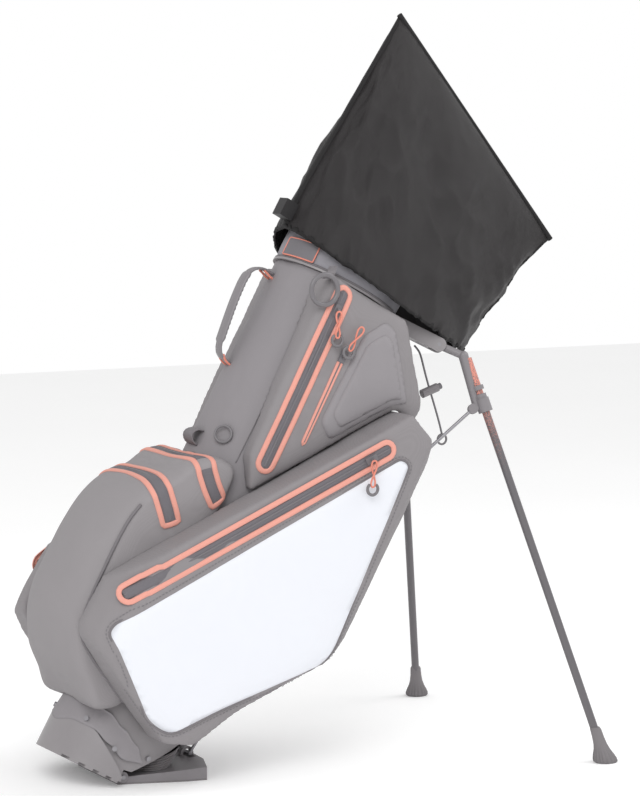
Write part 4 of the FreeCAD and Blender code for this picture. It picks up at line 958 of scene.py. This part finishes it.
def make_handle():
    """The moulded lift handle with its ribbed grip, held by two cords at each end."""
    low, high = cad_span("lift_handle")
    y = (low.y + high.y) / 2
    line = [(-104, 803), (-128, 803), (-145, 786), (-143, 740), (-138, 700), (-131, 653), (-104, 647)]
    path = spaced(softened([Vector((x, y, z)) for x, z in line]), 4.0)
    profile = ((-1, 0), (-0.8, 1), (0, 1.25), (0.8, 1), (1, 0), (0.8, -0.8), (0, -0.9), (-0.8, -0.8))
    verts = []
    for i, point in enumerate(path):
        ahead = heading(path, i)
        out = Vector((ahead.z, 0, -ahead.x))
        out *= -1 if out.x > 0 else 1
        gripped = 0.22 < i / (len(path) - 1) < 0.8
        size = 1.0 if gripped else 0.75
        rib = 0.9 if gripped and i % 2 else 0.0
        for across, lift in profile:
            depth = lift * HANDLE_THICK * size - (rib if lift < 0 else 0)
            verts.append(BAG @ (point + Vector((0, across * HANDLE_HALF * size, 0)) + out * depth))
    faces = tube_faces(len(path), len(profile), capped=True)
    add_piece("carry_handle", verts, faces, "bracket_plastic", "bag", replaces=("lift_handle",))
    for name, height, tail in (("top", 801, -1), ("low", 650, 4)):
        for letter, sign in (("a", -1), ("b", 1)):
            loop = [world(x, y + sign * 8, height + dz) for x, dz in
                    ((-101, -5), (-108, -5), (-116, -2), (-122, tail))]
            cord(f"handle_cord_{name}_{letter}", spaced(softened(loop), 0.002), 0.0019, "coral_cord")


def make_tabs(shell):
    """The webbing tabs that hold the towel ring and the D-ring, and the ribbed glove tab."""
    skin = Skin(shell)
    low, high = cad_span("towel_ring")
    x, y, z = (low.x + high.x) / 2, (low.y + high.y) / 2, high.z
    path = [world(x + 8, -100, z + 16), world(x + 2, -112, z + 8), world(x - 4, y - 3, z + 1),
            world(x, y + 3, z - 5), world(x + 4, -104, z - 6)]
    ribbon("towel_tab", spaced(softened(path), 0.003), Vector((1, 0, 0)), 0.015, 0.0016,
           replaces=("webbing_loops",))

    def standing(x, y, z, points):
        """A line of points given as distances out from the shell and up from a place on it."""
        hit, normal = skin.nearest(world(x, y, z))
        return softened([hit + normal * out + UP * rise for out, rise in points]), normal
    low, high = cad_span("accessory_ring")
    pad, normal = standing((low.x + high.x) / 2 + 6, (low.y + high.y) / 2 + 4, high.z + 2, (
        (0.001, 0.012), (0.0045, 0.006), (0.007, 0.0), (0.006, -0.006), (0.0015, -0.010)))
    ribbon("dee_tab", spaced(pad, 0.002), UP.cross(normal), 0.020, 0.0022)
    loop, normal = standing(-112, 0, 520, (
        (0.0, 0.012), (0.009, 0.011), (0.017, 0.0), (0.010, -0.010), (0.0, -0.012)))
    ribbon("glove_tab", spaced(loop, 0.0024), Vector((0, 1, 0)), 0.032, 0.0022, rib=0.0008)


def ribbon(name, path, side, width, height, replaces=(), rib=0.0):
    """A webbing strap through free space: side is the direction across it."""
    side = side.normalized()
    profile = ((-0.5, 0.0), (-0.46, 0.5), (0.46, 0.5), (0.5, 0.0), (0.46, -0.5), (-0.46, -0.5))
    verts = []
    for i, point in enumerate(path):
        out = heading(path, i).cross(side).normalized() * (height + (rib if i % 2 else 0.0))
        verts += [point + side * across * width + out * lift for across, lift in profile]
    faces = tube_faces(len(path), len(profile), capped=True)
    add_piece(name, verts, faces, "webbing", "bag", replaces)


def make_pull(name, node, body=None):
    """A zip pull: a coral cord tied through the slider, crossed over a grey ring."""
    points = cad_points(node)
    low, high = cad_span(node)
    ends = []
    for limit, sign in ((high.z, 1), (low.z, -1)):
        chosen = [p for p in points if (limit - p.z) * sign < 4]
        ends.append(sum(chosen, Vector()) / len(chosen))
    top, foot = ends
    along = (foot - top).normalized()
    side = along.cross(Vector((0, 1, 0))).normalized()
    long = (foot - top).length
    centre = top + along * (long - PULL_RING)
    hang = long - 2 * PULL_RING + 5
    loop = []
    for turn in turns(48):
        down = (0.5 - 0.5 * math.cos(turn)) * hang
        loop.append(BAG @ (top + along * (down + 1) + side * math.sin(2 * turn) * 4.2
                           - Vector((0, math.sin(turn) * 1.5, 0))))
    body = body or name
    cord(name + "_cord", loop, 0.0015, "coral_cord", body=body, closed=True, sides=8)
    ring = [BAG @ (centre + (side * math.cos(a) + along * math.sin(a)) * PULL_RING)
            for a in (math.radians(-50 + 280 * k / 36) for k in range(37))]
    cord(name + "_grip", ring, 0.0024, "ring_plastic", body=body, replaces=(node,),
         sides=12)


def make_cord():
    """The elastic umbrella cord through its lock, and the ring at its end."""
    points = [(150, 812), (160, 809), (168, 804), (186, 786), (203, 770), (211, 763), (228, 748),
              (250, 728), (266, 712)]
    path = spaced(softened([world(x, -45, z) for x, z in points], 3), 0.003)
    cord("elastic_cord", path, 0.0016, "dark_plastic", body="cord", replaces=("umbrella_cord",))
    end = [world(270 + math.cos(turn) * 8, -45, 705 + math.sin(turn) * 8) for turn in turns(32)]
    cord("cord_end_ring", end, 0.0018, "ring_plastic", body="cord", closed=True)


def make_leg_foot(side):
    """A flared rubber foot, ribbed round its sole."""
    node = f"leg_foot_{side}"
    points = [vertex.co.copy() for vertex in NODES[node].data.vertices]
    lowest, highest = min(p.z for p in points), max(p.z for p in points)
    sole = [p for p in points if p.z < lowest + 0.001]
    head = [p for p in points if p.z > highest - 0.006]
    base = sum(sole, Vector()) / len(sole)
    axis = sum(head, Vector()) / len(head) - base
    around, ribs = 72, 18
    verts = []
    for share, reach, ribbed in LEG_FOOT_ROWS:
        for turn in turns(around):
            rib = 0.0011 * ribbed * (1 if math.cos(turn * ribs) > 0 else -1)
            spoke = Vector((math.cos(turn), math.sin(turn) * 0.86, 0)) * (reach + rib)
            verts.append(base + axis * share + spoke)
    faces = tube_faces(len(LEG_FOOT_ROWS), around, capped=True)
    add_piece(f"rubber_foot_{side}", verts, faces, "rubber", f"leg_{side}",
              replaces=(node,))


# ---------------------------------------------------------------- base trim, bellows and patch
# degrees from the front, height
CRESCENT_RIM = ((0, 36), (25, 46), (45, 46), (62, 36), (78, 24), (96, 30))
CRESCENT_CREST = ((0, 84), (30, 86), (50, 79), (68, 66), (84, 52), (96, 34))


def make_crescent():
    """The soft-touch trim over the front of the base cup, above the heel shell's rim."""
    cup = cad_span("base_cup")[1]
    columns, rows, reach = 90, 8, 96

    def height(table, angle):
        for (a, low), (b, high) in zip(table, table[1:]):
            if angle <= b:
                t = (angle - a) / (b - a)
                return low + (high - low) * (t * t * (3 - 2 * t))
        return table[-1][1]
    verts = []
    for lift, flared in ((3.0, 5.5), (0.4, 0.0)):
        for share in (row / rows for row in range(rows + 1)):
            for k in range(columns + 1):
                angle = -reach + 2 * reach * k / columns
                turn = math.radians(180 + angle)
                rim, crest = (height(table, abs(angle)) for table in (CRESCENT_RIM, CRESCENT_CREST))
                z = rim * (1 - share) + crest * share
                bulge = lift + flared * (1 - share) * max(0.0, 1 - (abs(angle) / 88) ** 4)
                verts.append(world((cup.x + bulge) * math.cos(turn), (cup.y + bulge) * math.sin(turn), z))
    size = len(verts) // 2
    faces = doubled(sheet_faces(rows, columns), size)
    for first in (0, size - columns - 1):
        faces += [(a, size + a, size + a + 1, a + 1) for a in range(first, first + columns)]
    add_piece("base_crescent", verts, faces, "foam", "bag")


def make_boot():
    """Ribbed bellows between the foot and the base cup."""
    ribs, around = 7, 72
    rows = ribs * 6
    verts = []
    for share in (i / rows for i in range(rows + 1)):
        swell = 1.5 * math.cos(2 * math.pi * ribs * share)
        for turn in turns(around):
            x, y = 52 + math.cos(turn) * (34 + swell), math.sin(turn) * (78 + swell)
            top = world(x, y, 22 + (x - 15) * 1.05)
            base = world(x, y, 6 + (x - 15) * 0.5)
            verts.append(base.lerp(top, share))
    bellows = add_piece("boot_bellows", verts, tube_faces(rows + 1, around), "rubber", None,
                        replaces=("base_boot",))
    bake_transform(bellows)


def make_patch():
    """The cuff's patch, left blank, with its coral outline."""
    pad = cad_span("cuff_pad")[1]
    low, high = (corner.z for corner in cad_span("cuff_patch"))
    low, high = low + 2, high - 2
    first, last = math.radians(181), math.radians(218)
    columns, rows = 24, 4

    def on_cuff(turn, z, stand):
        return world((pad.x + stand) * math.cos(turn), (pad.y + stand) * math.sin(turn), z)
    verts = [on_cuff(first + (last - first) * k / columns, low + (high - low) * row / rows, stand)
             for stand in (1.1, 2.8) for row in range(rows + 1) for k in range(columns + 1)]
    faces = doubled(sheet_faces(rows, columns), len(verts) // 2)
    add_piece("cuff_badge", verts, faces, "dark_plastic", "bag", replaces=("cuff_patch",))
    corners = [(first, low), (last, low), (last, high), (first, high)]
    ring = []
    for (a, z), (b, top) in zip(corners, corners[1:] + corners[:1]):
        ring += [on_cuff(a + (b - a) * k / 12, z + (top - z) * k / 12, 2.4) for k in range(12)]
    cord("badge_edge", spaced(softened(ring, closed=True), 0.003, closed=True), 0.0012, "coral_cord",
         closed=True)


# ---------------------------------------------------------------- finishes on the CAD nodes
CAD_LOOKS = {
    "cup_plastic": ("base_cup",),
    "shell_plastic": ("heel_shell", "top_collar", "spine_stay", "side_stays", "slider_block"),
    "rubber": ("foot_tread",),
    "bracket_plastic": ("foot_plate", "leg_arm_near", "leg_arm_far", "cord_lock"),
    "steel": ("base_rivets", "foot_hinge_pin", "leg_pivot_pins", "push_rods", "strut_near", "strut_far"),
    "leg_paint": ("leg_tube_near", "leg_tube_far"),
    "dark_plastic": ("long_zip_slider", "slim_zip_slider", "side_zip_slider_near", "side_zip_slider_far",
                     "ball_zip_slider_upper", "ball_zip_slider_lower", "lock_button"),
    "ring_plastic": ("towel_ring", "accessory_ring"),
    "cuff_cloth": ("divider_cross",),
    "buckle_plastic": ("hood_buckle",),
}


# ---------------------------------------------------------------- the whole bag
for LOOK, PARTS in CAD_LOOKS.items():
    for PART in PARTS:
        dress(NODES[PART].data, LOOK)
SHELL = make_upper_shell()
make_cuff()
make_ball_pocket()
make_side_pockets()
make_garment_pockets()
make_hip_pad()
make_hood()
make_handle()
make_tabs(SHELL)
make_pull("long_pull", "long_zip_pull")
make_pull("slim_pull", "slim_zip_pull")
make_pull("side_pull", "side_zip_pull_near", "side_pull_near")
make_cord()
for LEG in ("near", "far"):
    make_leg_foot(LEG)
make_crescent()
make_boot()
make_patch()
make_stage()
